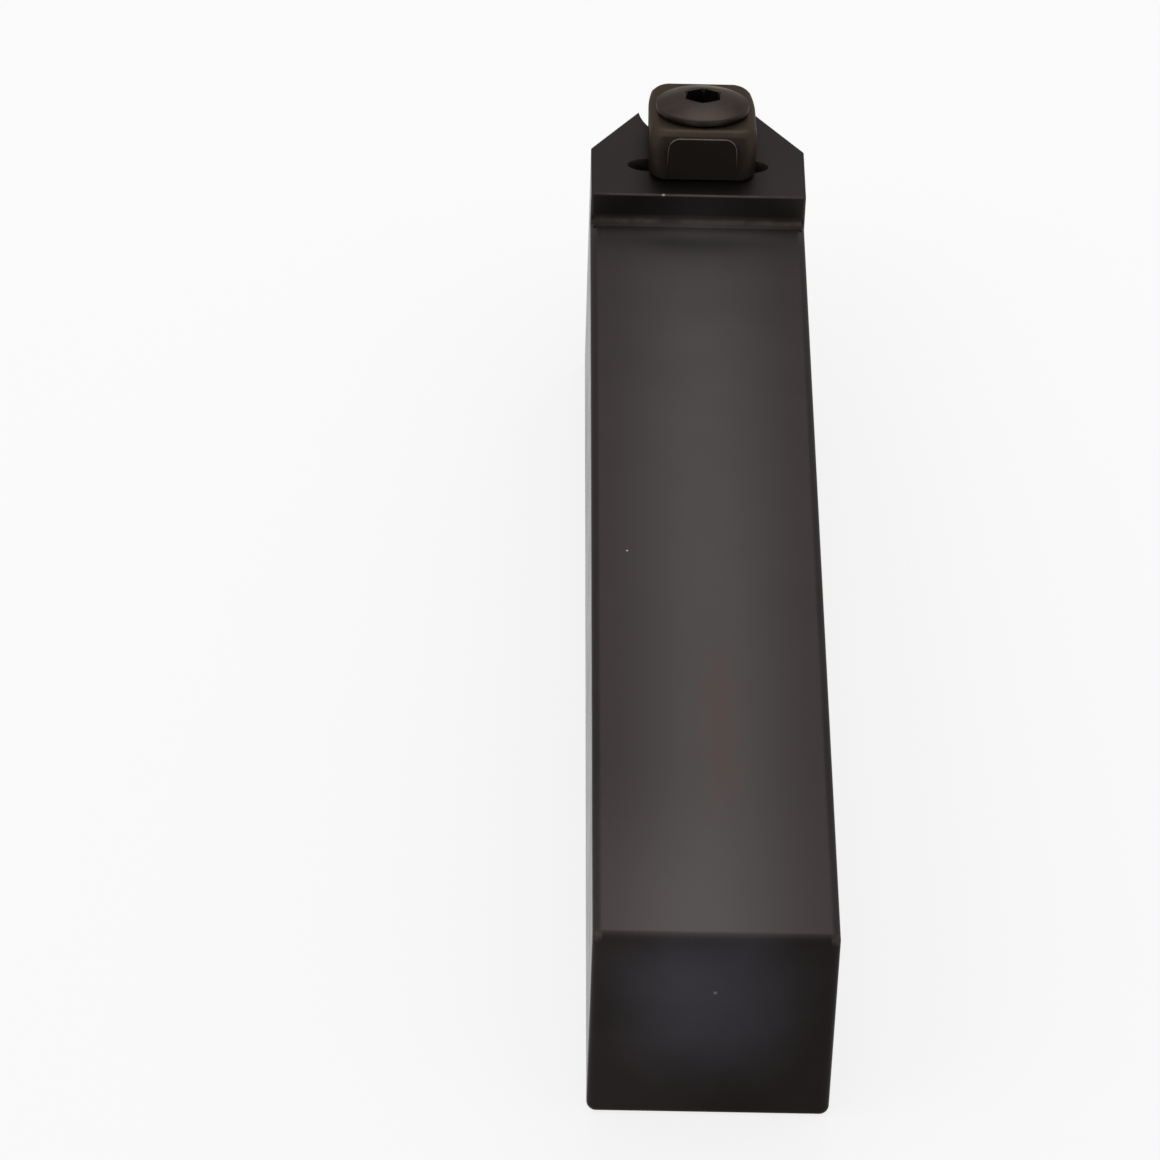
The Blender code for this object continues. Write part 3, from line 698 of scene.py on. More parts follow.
def clamp_block():
    """Block of the clamp round its bore: walls, rounded top, cone, recess and underside."""
    part, screw, spring = sizes().clamp, sizes().screw, sizes().spring
    height = clamp_top(SCREW_FOOT.y) - CLAMP_FACE
    foot, top = part.foot_round, part.top_round
    rings = [block_ring(0.0, depth, -inset) for inset, depth in edge_rounding(foot)[:-1]]
    rings += [block_ring((foot / height) + (1 - (foot + top) / height) * step / WALL_STEPS,
                         0.0, 0.0) for step in range(WALL_STEPS + 1)]
    rings += [block_ring(1.0, inset, depth) for inset, depth in edge_rounding(top, EDGE_STEPS)[1:]]
    outer = rings[-1]
    cone = screw.neck_radius + screw.spare
    neck = screw.neck_radius - screw.shank_radius
    broken = 0.15 * MM
    rim = bore_ring(outer, cone + broken, part.height)
    rings += [mixed(outer, rim, step / WALL_STEPS) for step in range(1, WALL_STEPS)]
    rings.append(rim)
    edge, ceiling = part.height - broken, spring.gap + spring.room
    for radius, level in ((cone, edge), (hole_radius(), edge - neck), (hole_radius(), ceiling),
                          (spring.recess, ceiling), (spring.recess, None)):
        rings.append(bore_ring(outer, radius, level))
    return loft(rings, closed=True)


def nose_form():
    """Tongue of the clamp that reaches down into the seat and presses on the insert."""
    part = sizes().clamp
    back, front = seat_back() + part.nose_back_gap, SEAT_Y + part.nose_reach
    foot = sizes().holder.shank_height + part.insert_gap
    shoulder = SCREW_FOOT.y + part.front - part.front_lean / 2
    high = CLAMP_FACE + part.height / 4
    half = part.nose_width / 2
    outline = [(back, foot), (front, foot), (front, foot + part.nose_pad), (shoulder, high),
               (back, high)]
    bm = bar(outline, CLAMP_X - half, CLAMP_X + half)
    bmesh.ops.bevel(bm, geom=bm.edges[:], offset=part.nose_round, offset_type='OFFSET',
                    segments=5, profile=0.5, affect='EDGES')
    return bm


def trim_beyond(bm, place, outwards):
    """Cuts away what lies beyond a plane and closes the cut."""
    cut = bmesh.ops.bisect_plane(bm, geom=bm.verts[:] + bm.edges[:] + bm.faces[:],
                                 plane_co=place, plane_no=outwards, clear_outer=True)
    rim = [item for item in cut["geom_cut"] if isinstance(item, bmesh.types.BMEdge)]
    bmesh.ops.edgenet_fill(bm, edges=rim)


def heel_form():
    """Rounded rib under the clamp that stands in the groove."""
    part, holder = sizes().clamp, sizes().holder
    spare = part.heel_clearance
    bm = loft(groove_rings(holder.groove_depth - spare, holder.groove_half_width - spare))
    half = part.width / 2 - part.corner
    for side in (-1, 1):
        trim_beyond(bm, Vector((CLAMP_X + side * half, 0, 0)), Vector((side, 0, 0)))
    trim_beyond(bm, Vector((0, 0, CLAMP_FACE + part.height / 4)), Vector((0, 0, 1)))
    return bm


def panel_lean():
    """Lean of the clamp's rear face."""
    part = sizes().clamp
    return math.atan2(part.back_lean, clamp_top(SCREW_FOOT.y - part.back) - CLAMP_FACE)


def panel_foot():
    """Middle of the ground flat's foot."""
    part = sizes().clamp
    return Vector((CLAMP_X - part.panel_shift, SCREW_FOOT.y - part.back, CLAMP_FACE))


def panel_outline(grow):
    """Flat's outline on the rear face: arched at the top and a little wider at the foot."""
    part = sizes().clamp
    half, high = part.panel_width / 2 + grow, part.panel_height + grow
    radius = part.panel_corner + grow
    foot = half + PANEL_SPLAY
    right = arc_points((half - radius, high - radius), radius, 0.0, math.pi / 2, HOLLOW_STEPS)
    left = [(-x, z) for x, z in reversed(right)]
    return [(-foot, -PAST_FACE), (foot, -PAST_FACE), (foot, 0.0)] + right + left + [(-foot, 0.0)]


def panel_form():
    """Cutter for the flat ground in the clamp's back face, with a sloping rim."""
    part = sizes().clamp
    place = Matrix.Translation(panel_foot()) @ Matrix.Rotation(-panel_lean(), 4, 'X')
    flare = part.panel_depth * 0.5
    levels = ((part.panel_depth, 0.0), (0.0, flare), (-part.back, flare))
    return placed(loft([[Vector((x, depth, z)) for x, z in panel_outline(grow)]
                        for depth, grow in levels]), place)


class TOOLHOLDER_OT_clamp(bpy.types.Operator):
    """Builds the cast top clamp with its tongue, heel and ground flat"""
    bl_idname = "toolholder.clamp"
    bl_label = "Top clamp"

    def execute(self, context):
        clamp = object_from("clamp_fine", clamp_block())
        heel = object_from("heel", heel_form())
        low = -sizes().holder.groove_depth - PAST_FACE
        passage = placed(rod(hole_radius(), low, MM), SCREW_FRAME)
        combine(heel, object_from("screw passage", passage), 'DIFFERENCE')
        combine(clamp, object_from("nose", nose_form()), 'UNION')
        combine(clamp, heel, 'UNION')
        combine(clamp, object_from("panel", panel_form()), 'DIFFERENCE')
        shade_evenly(clamp.data)
        finished(clamp, clamp_material(), "clamp", "dark_cast_steel", "clamp")
        return {'FINISHED'}


# Screws

def hexagon(key, turned, height):
    """Six-sided ring; its points match those of a circle with as many."""
    return [around(key / 2 / math.cos(angle % (math.pi / 3) - math.pi / 6), angle + turned, height)
            for angle in even_angles()]


def turned_circle(radius, height, turned):
    """Circle whose points match those of a turned hexagon."""
    return [Matrix.Rotation(turned, 3, 'Z') @ point for point in circle(radius, height)]


def thread_rings(radius, depth, pitch, low, high, turned):
    """Columns of points down a screw thread, joined into rings that climb by one pitch."""
    cuts = (0.0, 0.0, 1.0, 1.0)
    rings = []
    rows = int((high - low) / pitch + 1) * len(cuts)
    for row in range(rows + 1):
        ring = []
        for step in range(RING_POINTS + 1):
            angle = 2 * math.pi * step / RING_POINTS
            z = low - pitch + (row / len(cuts) + step / RING_POINTS) * pitch
            spot = radius - depth * (cuts[row % len(cuts)] if low < z < high else 1.0)
            ring.append(around(spot, angle + turned, min(max(z, low), high)))
        rings.append(ring)
    return rings


def threaded_screw(rings, thread, low, high, tip, turned=0.0):
    """Screw over rings from its socket's floor to its neck, then its thread and chamfered end.

    The thread is its radius, depth and pitch; the tip is the end's height and its chamfer.
    """
    radius, depth, pitch = thread
    end, chamfer = tip
    bm = loft(rings, cap_ends=False)
    bm.verts.ensure_lookup_table()
    bm.faces.new(bm.verts[:RING_POINTS])
    skin(bm, thread_rings(radius, depth, pitch, low, high, turned), wrap=False)
    root = radius - depth
    skin(bm, [turned_circle(root, low, turned), turned_circle(root - chamfer, end, turned)])
    bm.verts.ensure_lookup_table()
    bm.faces.new(bm.verts[-RING_POINTS:])
    bmesh.ops.remove_doubles(bm, verts=bm.verts, dist=WELD * 3)
    bmesh.ops.dissolve_degenerate(bm, dist=WELD, edges=bm.edges)
    return bm


def crown_height(radius):
    """Height of the clamp screw's crown at a distance from its axis."""
    part = sizes().screw
    rim_top = sizes().clamp.height + part.spare + part.head_rim
    sphere = (part.head_radius ** 2 + part.head_crown ** 2) / (2 * part.head_crown)
    return rim_top + part.head_crown - sphere + math.sqrt(sphere ** 2 - radius ** 2)


def on_crown(ring):
    """Lifts a ring onto the crown."""
    return [Vector((point.x, point.y, crown_height(math.hypot(point.x, point.y))))
            for point in ring]


def clamp_screw_form():
    """Clamp screw from its socket's floor out over the crown and down to its thread's end."""
    part = sizes().screw
    turned = part.socket_turn
    seat = sizes().clamp.height + part.head_gap
    floor = crown_height(0.0) - part.socket_depth
    mouth_key = part.key + 2 * part.socket_chamfer
    drop = Vector((0, 0, part.socket_chamfer))
    wall = [point - drop for point in on_crown(hexagon(part.key, turned, 0))]
    mouth = on_crown(mixed(hexagon(mouth_key, turned, 0),
                           turned_circle(mouth_key * SOCKET_MOUTH, 0, turned), 0.5))
    rings = [turned_circle(DRILL_POINT, floor - 0.6 * MM, turned),
             turned_circle(part.key * SOCKET_DRILL, floor - 0.1 * MM, turned),
             hexagon(part.key * 0.98, turned, floor), hexagon(part.key, turned, floor + 0.05 * MM)]
    rings += [mixed(rings[-1], wall, 0.5), wall, mouth]
    edge_radius = part.head_radius - part.rim_round
    outer = turned_circle(edge_radius, 0, turned)
    rings += [on_crown(mixed(mouth, outer, step / CROWN_STEPS))
              for step in range(1, CROWN_STEPS + 1)]
    rounding = edge_rounding(part.rim_round)
    rings += [turned_circle(part.head_radius - depth, crown_height(edge_radius) - inset, turned)
              for inset, depth in rounding[1:]]
    rings += [turned_circle(part.head_radius - inset, seat + depth, turned)
              for inset, depth in rounding]
    neck = part.neck_radius - part.shank_radius
    top = seat - neck - 0.4 * MM
    rings += [turned_circle(part.neck_radius, seat, turned),
              turned_circle(part.shank_radius, seat - neck, turned),
              turned_circle(part.shank_radius, top + 0.3 * MM, turned),
              turned_circle(part.shank_radius - part.thread_depth, top, turned)]
    thread = (part.shank_radius, part.thread_depth, part.pitch)
    return placed(threaded_screw(rings, thread, part.tip - part.reach, top,
                                 (-part.reach, 0.35 * MM), turned), SCREW_FRAME)


class TOOLHOLDER_OT_clamp_screw(bpy.types.Operator):
    """Builds the clamp screw with its crowned head, hexagon socket and thread"""
    bl_idname = "toolholder.clamp_screw"
    bl_label = "Clamp screw"

    def execute(self, context):
        part = sizes().screw
        screw = object_from("clamp_screw_fine", clamp_screw_form())
        mark_socket(screw, SCREW_FRAME.inverted(), part.key,
                    crown_height(part.key / 2) - part.socket_chamfer)
        finished(screw, screw_material(), "clamp_screw", "dark_screw_steel", "clamp_screw")
        return {'FINISHED'}


def shim_screw_form():
    """Countersunk screw with a small hexagon socket and a thread."""
    part = sizes().shim
    top, low = SHIM_SCREW_HIGH.z, SHIM_SCREW_LOW.z
    floor = top - part.socket_depth
    tip, broken = 0.3 * MM, 0.08 * MM
    start = top - part.screw_cone - 0.8 * MM
    depth = 0.3 * MM
    rings = [circle(DRILL_POINT, floor - 0.3 * MM), circle(part.key * SOCKET_DRILL, floor),
             hexagon(part.key, 0.0, floor), hexagon(part.key, 0.0, top - broken),
             hexagon(part.key + 0.12 * MM, 0.0, top), circle(part.screw_head - 0.1 * MM, top),
             circle(part.screw_head, top - broken),
             circle(part.screw_radius, top - part.screw_cone),
             circle(part.screw_radius, start + 0.2 * MM), circle(part.screw_radius - depth, start)]
    thread = (part.screw_radius, depth, 0.5 * MM)
    return placed(threaded_screw(rings, thread, low + tip, start, (low, 0.25 * MM)),
                  Matrix.Translation((0, SEAT_Y, 0)))


def shim_form():
    """Shim: round plate with a flat back, broken edges and a countersunk hole."""
    part = sizes().shim
    wall = seat_back() + part.back_gap - SEAT_Y
    rings = [[Vector((point.x, max(point.y, wall + inset), z))
              for point in circle(part.radius - inset, z)]
             for inset, z in ((part.edge, SHIM_LOW.z), (0.0, SHIM_LOW.z + part.edge),
                              (0.0, SHIM_HIGH.z - part.edge), (part.edge, SHIM_HIGH.z))]
    bore = part.screw_radius + part.spare
    cone = part.screw_head + part.spare
    top, broken = SHIM_SCREW_HIGH.z, 0.1 * MM
    rings += [circle(radius, z) for radius, z in (
        (cone + broken, SHIM_HIGH.z), (cone, SHIM_HIGH.z - broken), (cone, top),
        (bore, top - part.screw_cone), (bore, SHIM_LOW.z))]
    return placed(loft(rings, closed=True), Matrix.Translation((0, SEAT_Y, 0)))


class TOOLHOLDER_OT_shim(bpy.types.Operator):
    """Builds the shim under the insert and its countersunk screw"""
    bl_idname = "toolholder.shim"
    bl_label = "Shim and its screw"

    def execute(self, context):
        shim = object_from("shim_fine", shim_form())
        mark_wear(shim, narrow_faces(shim.data, SHIM_STRIP))
        finished(shim, carbide_material(), "holder", "shim_carbide", "shim")
        screw = object_from("shim_screw_fine", shim_screw_form())
        mark_socket(screw, Matrix.Translation((0, -SEAT_Y, 0)), sizes().shim.key,
                    SHIM_SCREW_HIGH.z)
        finished(screw, screw_material(), "holder", "dark_screw_steel", "shim_screw")
        return {'FINISHED'}


# Lift spring

def spring_form():
    """Round wire wound about the screw, from the head's face up to the clamp's recess."""
    part = sizes().spring
    per_turn, sides, turns = 40, 14, 2
    low = part.wire / 2 + part.gap / 2
    high = part.gap + part.room - low
    count = turns * per_turn
    line = []
    for step in range(count + 1):
        angle = 2 * math.pi * step / per_turn
        x, y = part.radius * math.cos(angle), part.radius * math.sin(angle)
        foot = low + y * math.tan(SCREW_TILT)
        line.append(Vector((x, y, foot + (high - foot) * step / count)))
    rings = []
    for index, point in enumerate(line):
        ahead = (line[min(index + 1, count)] - line[max(index - 1, 0)]).normalized()
        outwards = Vector((point.x, point.y, 0)).normalized()
        upwards = ahead.cross(outwards).normalized()
        reach = part.wire / 2 * (WIRE_END if index in (0, count) else 1.0)
        rings.append([point + reach * (math.cos(angle) * outwards + math.sin(angle) * upwards)
                      for angle in even_angles(sides)])
    return placed(loft(rings), SCREW_FRAME)


class TOOLHOLDER_OT_spring(bpy.types.Operator):
    """Builds the lift spring, which stretches between the head and the clamp"""
    bl_idname = "toolholder.spring"
    bl_label = "Lift spring"

    def execute(self, context):
        spring = object_from("lift_spring_fine", spring_form())
        finished(spring, spring_material(), None, "spring_steel", "lift_spring")
        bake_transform(spring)
        return {'FINISHED'}


# Node groups

class Nodes:
    """Small helper to lay nodes in a tree and wire them."""

    def __init__(self, tree):
        self.tree = tree

    def add(self, kind, inputs=None, **settings):
        """Adds a node, sets its options, then its inputs by values or wires."""
        node = self.tree.nodes.new(kind)
        for name, value in settings.items():
            setattr(node, name, value)
        for key, value in (inputs or {}).items():
            self.feed(node.inputs[key], value)
        return node

    def feed(self, socket, value):
        """Wires an output into a socket, or sets the socket's value."""
        if isinstance(value, bpy.types.NodeSocket):
            self.tree.links.new(value, socket)
        else:
            socket.default_value = value

    def maths(self, operation, first, second=0.0, clamp=False):
        """One math node's result."""
        node = self.add('ShaderNodeMath', {0: first, 1: second}, operation=operation,
                        use_clamp=clamp)
        return node.outputs[0]

    def times(self, first, *others):
        """Product of several values."""
        for other in others:
            first = self.maths('MULTIPLY', first, other)
        return first

    def vectors(self, operation, first, second=(0, 0, 0)):
        """One vector math node's result: a number for lengths and dot products."""
        node = self.add('ShaderNodeVectorMath', {0: first, 1: second}, operation=operation)
        return node.outputs["Value" if operation in ('LENGTH', 'DOT_PRODUCT') else "Vector"]

    def axes(self, vector):
        """X, Y and Z of a vector."""
        return self.add('ShaderNodeSeparateXYZ', {0: vector}).outputs

    def noise(self, vector, grain_size, detail=3.0, roughness=0.5):
        """Noise with grains of a size."""
        scale = self.maths('DIVIDE', 1.0, grain_size)
        return self.add('ShaderNodeTexNoise', {"Vector": vector, "Scale": scale, "Detail": detail,
                                               "Roughness": roughness}).outputs[0]

    def ramp(self, value, low, high, start=0.0, end=1.0):
        """Smooth step of a value between two limits."""
        node = self.add('ShaderNodeMapRange', {0: value, 1: low, 2: high, 3: start, 4: end},
                        interpolation_type='SMOOTHSTEP')
        return node.outputs[0]

    def between(self, amount, first, second):
        """Value between two values."""
        return self.add('ShaderNodeMix', {0: amount, 2: first, 3: second}).outputs[0]

    def mix(self, amount, first, second, blend='MIX'):
        """Mixed colour."""
        node = self.add('ShaderNodeMix', data_type='RGBA', blend_type=blend)
        for index, value in ((0, amount), (6, first), (7, second)):
            self.feed(node.inputs[index], value)
        return node.outputs[2]


def use_group(nodes, name, wire, values, outputs=("Mask",)):
    """Places a node group with its own values; the group is made when first asked for."""
    if name not in bpy.data.node_groups:
        tree = bpy.data.node_groups.new(name, 'ShaderNodeTree')
        for label in values:
            kind = 'NodeSocketVector' if label in PLACE_SOCKETS else 'NodeSocketFloat'
            tree.interface.new_socket(name=label, in_out='INPUT', socket_type=kind)
        for label in outputs:
            tree.interface.new_socket(name=label, in_out='OUTPUT', socket_type='NodeSocketFloat')
        inner = Nodes(tree)
        wire(inner, inner.add('NodeGroupInput').outputs, inner.add('NodeGroupOutput').inputs)
    return nodes.add('ShaderNodeGroup', values, node_tree=bpy.data.node_groups[name]).outputs


def wire_grain(nodes, given, out):
    """Even speckle with a coarser cloud, as a mask and a height."""
    fine = nodes.noise(given["Vector"], given["Grain size"], 3.0, 0.6)
    cloud = nodes.noise(given["Vector"], given["Cloud size"], 4.0, 0.55)
    nodes.feed(out["Mask"], nodes.between(given["Cloud share"], fine, cloud))
    nodes.feed(out["Height"], fine)


def fine_grain(nodes, place, grain_size, cloud_size, cloud_share):
    """Mask and height of a finish's fine grain."""
    return use_group(nodes, "Fine grain", wire_grain,
                     {"Vector": place, "Grain size": grain_size, "Cloud size": cloud_size,
                      "Cloud share": cloud_share}, ("Mask", "Height"))


def wire_wear(nodes, given, out):
    """The marked faces, broken up by noise."""
    marked = nodes.add('ShaderNodeAttribute', attribute_name="worn").outputs["Fac"]
    patches = nodes.noise(given["Vector"], given["Patch size"])
    worn = nodes.times(marked, nodes.ramp(patches, 0.3, 0.7, 0.25, 1.0))
    nodes.feed(out["Mask"], nodes.maths('MULTIPLY', worn, given["Amount"], clamp=True))


def edge_wear(nodes, place, patch_size, amount):
    """Mask of the rubbed edges, which on the body also paints their highlights."""
    return use_group(nodes, "Edge wear", wire_wear,
                     {"Vector": place, "Patch size": patch_size, "Amount": amount})["Mask"]


def wire_spot(nodes, given, out):
    """Soft spot round a place, with a torn outline."""
    away = nodes.vectors('SUBTRACT', given["Vector"], given["Place"])
    shaped = nodes.vectors('MULTIPLY', away, given["Stretch"])
    near = nodes.maths('DIVIDE', nodes.vectors('LENGTH', shaped), given["Radius"])
    centred = nodes.maths('SUBTRACT', nodes.noise(given["Vector"], given["Tear size"]), 0.5)
    torn = nodes.times(centred, nodes.times(given["Tear"], 4.0))
    nodes.feed(out["Mask"], nodes.ramp(nodes.maths('ADD', near, torn), 1.0, 0.0))


def soft_spot(nodes, place, middle, radius, tear_size, tear, stretch=(1, 1, 1)):
    """Mask of a soft spot."""
    return use_group(nodes, "Soft spot", wire_spot,
                     {"Vector": place, "Place": middle, "Stretch": stretch, "Radius": radius,
                      "Tear size": tear_size, "Tear": tear})["Mask"]


# Finishes

def solid(colour):
    """Colour with full alpha."""
    return (*colour, 1.0)


class Finish(Nodes):
    """Material in the making: colours laid one over another, on a fine grain."""

    def __init__(self, name, metallic, grain, tint=(1.0, 1.0, 1.0)):
        self.material = bpy.data.materials.new(name)
        self.material.use_nodes = True
        super().__init__(self.material.node_tree)
        self.shader = self.tree.nodes["Principled BSDF"].inputs
        self.shader["Metallic"].default_value = metallic
        self.shader["Specular Tint"].default_value = solid(tint)
        self.place = self.add('ShaderNodeTexCoord').outputs["Object"]
        self.grain = fine_grain(self, self.place, *grain)
        self.colour = None

    def by_grain(self, low, high, limits=GRAIN_LIMITS):
        """Value that follows the grain's mask."""
        return self.ramp(self.grain["Mask"], *limits, low, high)

    def lay(self, amount, colour):
        """Lays another colour over what is there."""
        self.colour = self.mix(amount, self.colour, solid(colour))

    def tone(self, amount):
        """Makes the colour lighter or darker by a grey tone."""
        grey = self.add('ShaderNodeCombineColor', {0: amount, 1: amount, 2: amount}).outputs[0]
        self.colour = self.mix(1.0, self.colour, grey, 'MULTIPLY')

    def complete(self, rough, strength, distance):
        """Wires colour, roughness and the grain's bump, and gives the material."""
        bump = self.add('ShaderNodeBump', {"Height": self.grain["Height"], "Strength": strength,
                                           "Distance": distance})
        for name, value in (("Base Color", self.colour), ("Roughness", rough),
                            ("Normal", bump.outputs["Normal"])):
            self.feed(self.shader[name], value)
        return self.material


def shank_light_and_shade(nodes, axes, on_head):
    """Painted light and shade on the shank's top: paler at the rear left and before the step as
    painted sheen, dark in the hollow as painted shade.
    """
    part = sizes().holder
    foot = step_place() - part.foot_fillet
    top = part.shank_height
    rear_reach, step_reach = 28 * MM, 3.2 * MM
    left, right = -9 * MM, 4 * MM
    edge_start, edge_end = 10.8 * MM, 12.3 * MM
    # Painted sheen towards the rear left
    rear = nodes.times(nodes.ramp(axes["Y"], REAR_Y + rear_reach, REAR_Y),
                       nodes.ramp(axes["X"], right, left, 0.12, 0.42))
    on_top = nodes.times(nodes.ramp(axes["Z"], top - 0.7 * MM, top - 0.3 * MM),
                         nodes.maths('SUBTRACT', 1.0, on_head))
    inner = nodes.ramp(nodes.maths('ABSOLUTE', axes["X"]), edge_end, edge_start, 0.3, 1.0)
    flat = nodes.times(on_top, nodes.ramp(axes["Z"], top + 0.1 * MM, top + 0.015 * MM))
    # Painted light just before the step
    near = nodes.times(nodes.ramp(axes["Y"], foot - step_reach, foot, 0.0, 1.6), inner, flat)
    # Painted shade in the fillet's hollow, a little paler above it
    hollow = nodes.maths('ADD', nodes.ramp(axes["Z"], top + 0.05 * MM, top + 0.3 * MM, 1.0, 0.4),
                         nodes.ramp(axes["Z"], top + 0.65 * MM, top + 1.05 * MM, 0.0, 0.7))
    return nodes.times(nodes.maths('ADD', near, 1.0), nodes.between(on_top, 1.0, hollow),
                       nodes.maths('ADD', rear, 1.0))


def groove_shade_mask(nodes, axes):
    """Painted shade inside the groove across the head, deeper places more."""
    part = sizes().holder
    from_groove = nodes.maths('ABSOLUTE', nodes.maths(
        'SUBTRACT', axes["Y"], SCREW_FOOT.y - part.groove_setback))
    return nodes.times(
        nodes.ramp(from_groove, part.groove_half_width * 1.2, part.groove_half_width),
        nodes.ramp(nodes.maths('ABSOLUTE', axes["X"]), GROOVE_END * 1.1, GROOVE_END),
        nodes.ramp(axes["Z"], HEAD_TOP - 0.1 * MM, HEAD_TOP - 0.7 * MM))


def body_material():
    """Satin black oxide: brighter face middles as painted sheen, dark head, bluish end with
    painted light and shade, painted shade in the groove, rubbed edges that also paint highlights,
    a stain and small nicks.
    """
    tones, part = sizes().colours, sizes().holder
    look = Finish("black_oxide", 1.0, (0.18 * MM, 12 * MM, 0.7), (0.65, 0.65, 0.65))
    axes = look.axes(look.place)
    level = look.maths('ABSOLUTE', look.maths('SUBTRACT', axes["Z"], part.shank_height / 2))
    from_middle = look.maths('MINIMUM', look.maths('ABSOLUTE', axes["X"]), level)
    # Painted sheen: paler in the middle of each face, darker and browner towards its edges
    look.colour = solid(tones.oxide)
    look.lay(look.ramp(from_middle, 0.0, HALF_WIDTH), tones.oxide_outside_sheen)
    step_y = step_place()
    on_head = look.ramp(axes["Y"], step_y + 0.05 * MM, step_y + 0.3 * MM)
    look.lay(on_head, tones.oxide_head)
    # Painted shade inside the groove
    look.lay(look.times(groove_shade_mask(look, axes), 0.9), tones.groove)
    # Painted light and shade on the rear face: pale in its upper middle, darker towards its rim
    # and foot
    end_light_middle, end_light_radius = (-0.8 * MM, REAR_Y, 17 * MM), 14 * MM
    middle = soft_spot(look, look.place, end_light_middle, end_light_radius, 9 * MM, 0.12, (1.0, 1.0, 0.85))
    end_colour = look.mix(middle, solid(tones.end_rim_oxide_and_shade), solid(tones.end_oxide_and_light))
    at_end = look.ramp(axes["Y"], REAR_Y + 0.9 * MM, REAR_Y + 0.15 * MM)
    look.colour = look.mix(at_end, look.colour, end_colour)
    stain_middle, stain_radius = (0.9 * MM, -40 * MM, part.shank_height), 3.2 * MM
    stain = soft_spot(look, look.place, stain_middle, stain_radius, 3 * MM, 0.3, (1.0, 0.16, 1.0))
    look.lay(look.times(stain, 0.45), tones.stain)
    # Random tone of the grain, times the painted light and shade of the shank's top
    look.tone(look.times(look.by_grain(0.9, 1.1, CLOUD_LIMITS), shank_light_and_shade(look, axes, on_head)))
    # Rubbed edges, which also paint the edges' highlights
    look.lay(edge_wear(look, look.place, 2 * MM, 0.4), tones.oxide_worn_and_highlight)
    nicks = (((-4.1 * MM, step_y, HEAD_TOP), 0.3 * MM, 1.0),
             ((-8.6 * MM, -11.5 * MM, part.shank_height), 0.16 * MM, 1.0),
             ((0.1 * MM, REAR_Y, 17.4 * MM), 0.3 * MM, 0.35))
    for spot, radius, strength in nicks:
        nick = soft_spot(look, look.place, spot, radius, 0.2 * MM, 0.2)
        look.lay(look.times(nick, strength), tones.bare)
    normal = look.add('ShaderNodeNewGeometry').outputs["True Normal"]
    on_side = look.ramp(look.maths('ABSOLUTE', look.axes(normal)["X"]), *SIDE_FACING)
    rough = look.between(on_side, look.by_grain(0.44, 0.52), look.by_grain(0.18, 0.26))
    return look.complete(rough, 0.1, 0.02 * MM)


def panel_highlight_and_flat(nodes, place):
    """Painted highlight as a thin line along the rim of the ground flat, fading towards the foot,
    and the flat itself.
    """
    part = sizes().clamp
    lean = panel_lean()
    away = nodes.vectors('SUBTRACT', place, panel_foot())
    rise = nodes.vectors('DOT_PRODUCT', away, (0, math.sin(lean), math.cos(lean)))
    depth = nodes.vectors('DOT_PRODUCT', away, (0, math.cos(lean), -math.sin(lean)))
    side = nodes.maths('ABSOLUTE', nodes.axes(away)["X"])
    splay = nodes.times(nodes.maths('SUBTRACT', part.panel_height, rise),
                        -PANEL_SPLAY / part.panel_height)
    past_side = nodes.maths('ADD', nodes.maths('ADD', side, splay),
                            part.panel_corner - part.panel_width / 2)
    past_top = nodes.maths('SUBTRACT', rise, part.panel_height - part.panel_corner)
    corner = nodes.add('ShaderNodeCombineXYZ', {0: nodes.maths('MAXIMUM', past_side, 0.0),
                                                1: nodes.maths('MAXIMUM', past_top, 0.0)})
    reach = nodes.vectors('LENGTH', corner.outputs[0])
    middle = part.panel_corner + part.panel_depth * 0.25
    line = nodes.ramp(nodes.maths('ABSOLUTE', nodes.maths('SUBTRACT', reach, middle)),
                      0.09 * MM, 0.03 * MM)
    fade = nodes.ramp(rise, part.panel_height * 0.2, part.panel_height * 0.95, 0.12, 1.0)
    behind = nodes.ramp(depth, 1.2 * MM, 0.9 * MM)
    inside = nodes.ramp(reach, middle, middle - 0.05 * MM)
    return nodes.times(line, fade, behind), nodes.times(inside, behind)


def clamp_material():
    """Warm oxide on fine cast steel, with painted shade on its back and a thin painted highlight
    round the ground flat.
    """
    tones = sizes().colours
    look = Finish("dark_cast_steel", 0.95, (0.16 * MM, 2.5 * MM, 0.5), (0.55, 0.52, 0.49))
    look.colour = solid(tones.cast)
    look.tone(look.by_grain(0.85, 1.15, CLOUD_LIMITS))
    line, flat = panel_highlight_and_flat(look, look.place)
    # Painted shade: faces of the clamp that face back take the ground flat's dark colour
    normal = look.add('ShaderNodeNewGeometry').outputs["Normal"]
    back_shade = look.ramp(look.axes(normal)["Y"], *BACK_SHADE_FACING)
    look.lay(look.maths('MAXIMUM', flat, back_shade), tones.ground)
    # Painted highlight along the flat's rim, fading towards the foot
    look.lay(look.times(line, look.by_grain(0.5, 1.0, (0.35, 0.6))), tones.cast_edge_highlight)
    return look.complete(look.by_grain(0.42, 0.54), 0.3, 0.04 * MM)


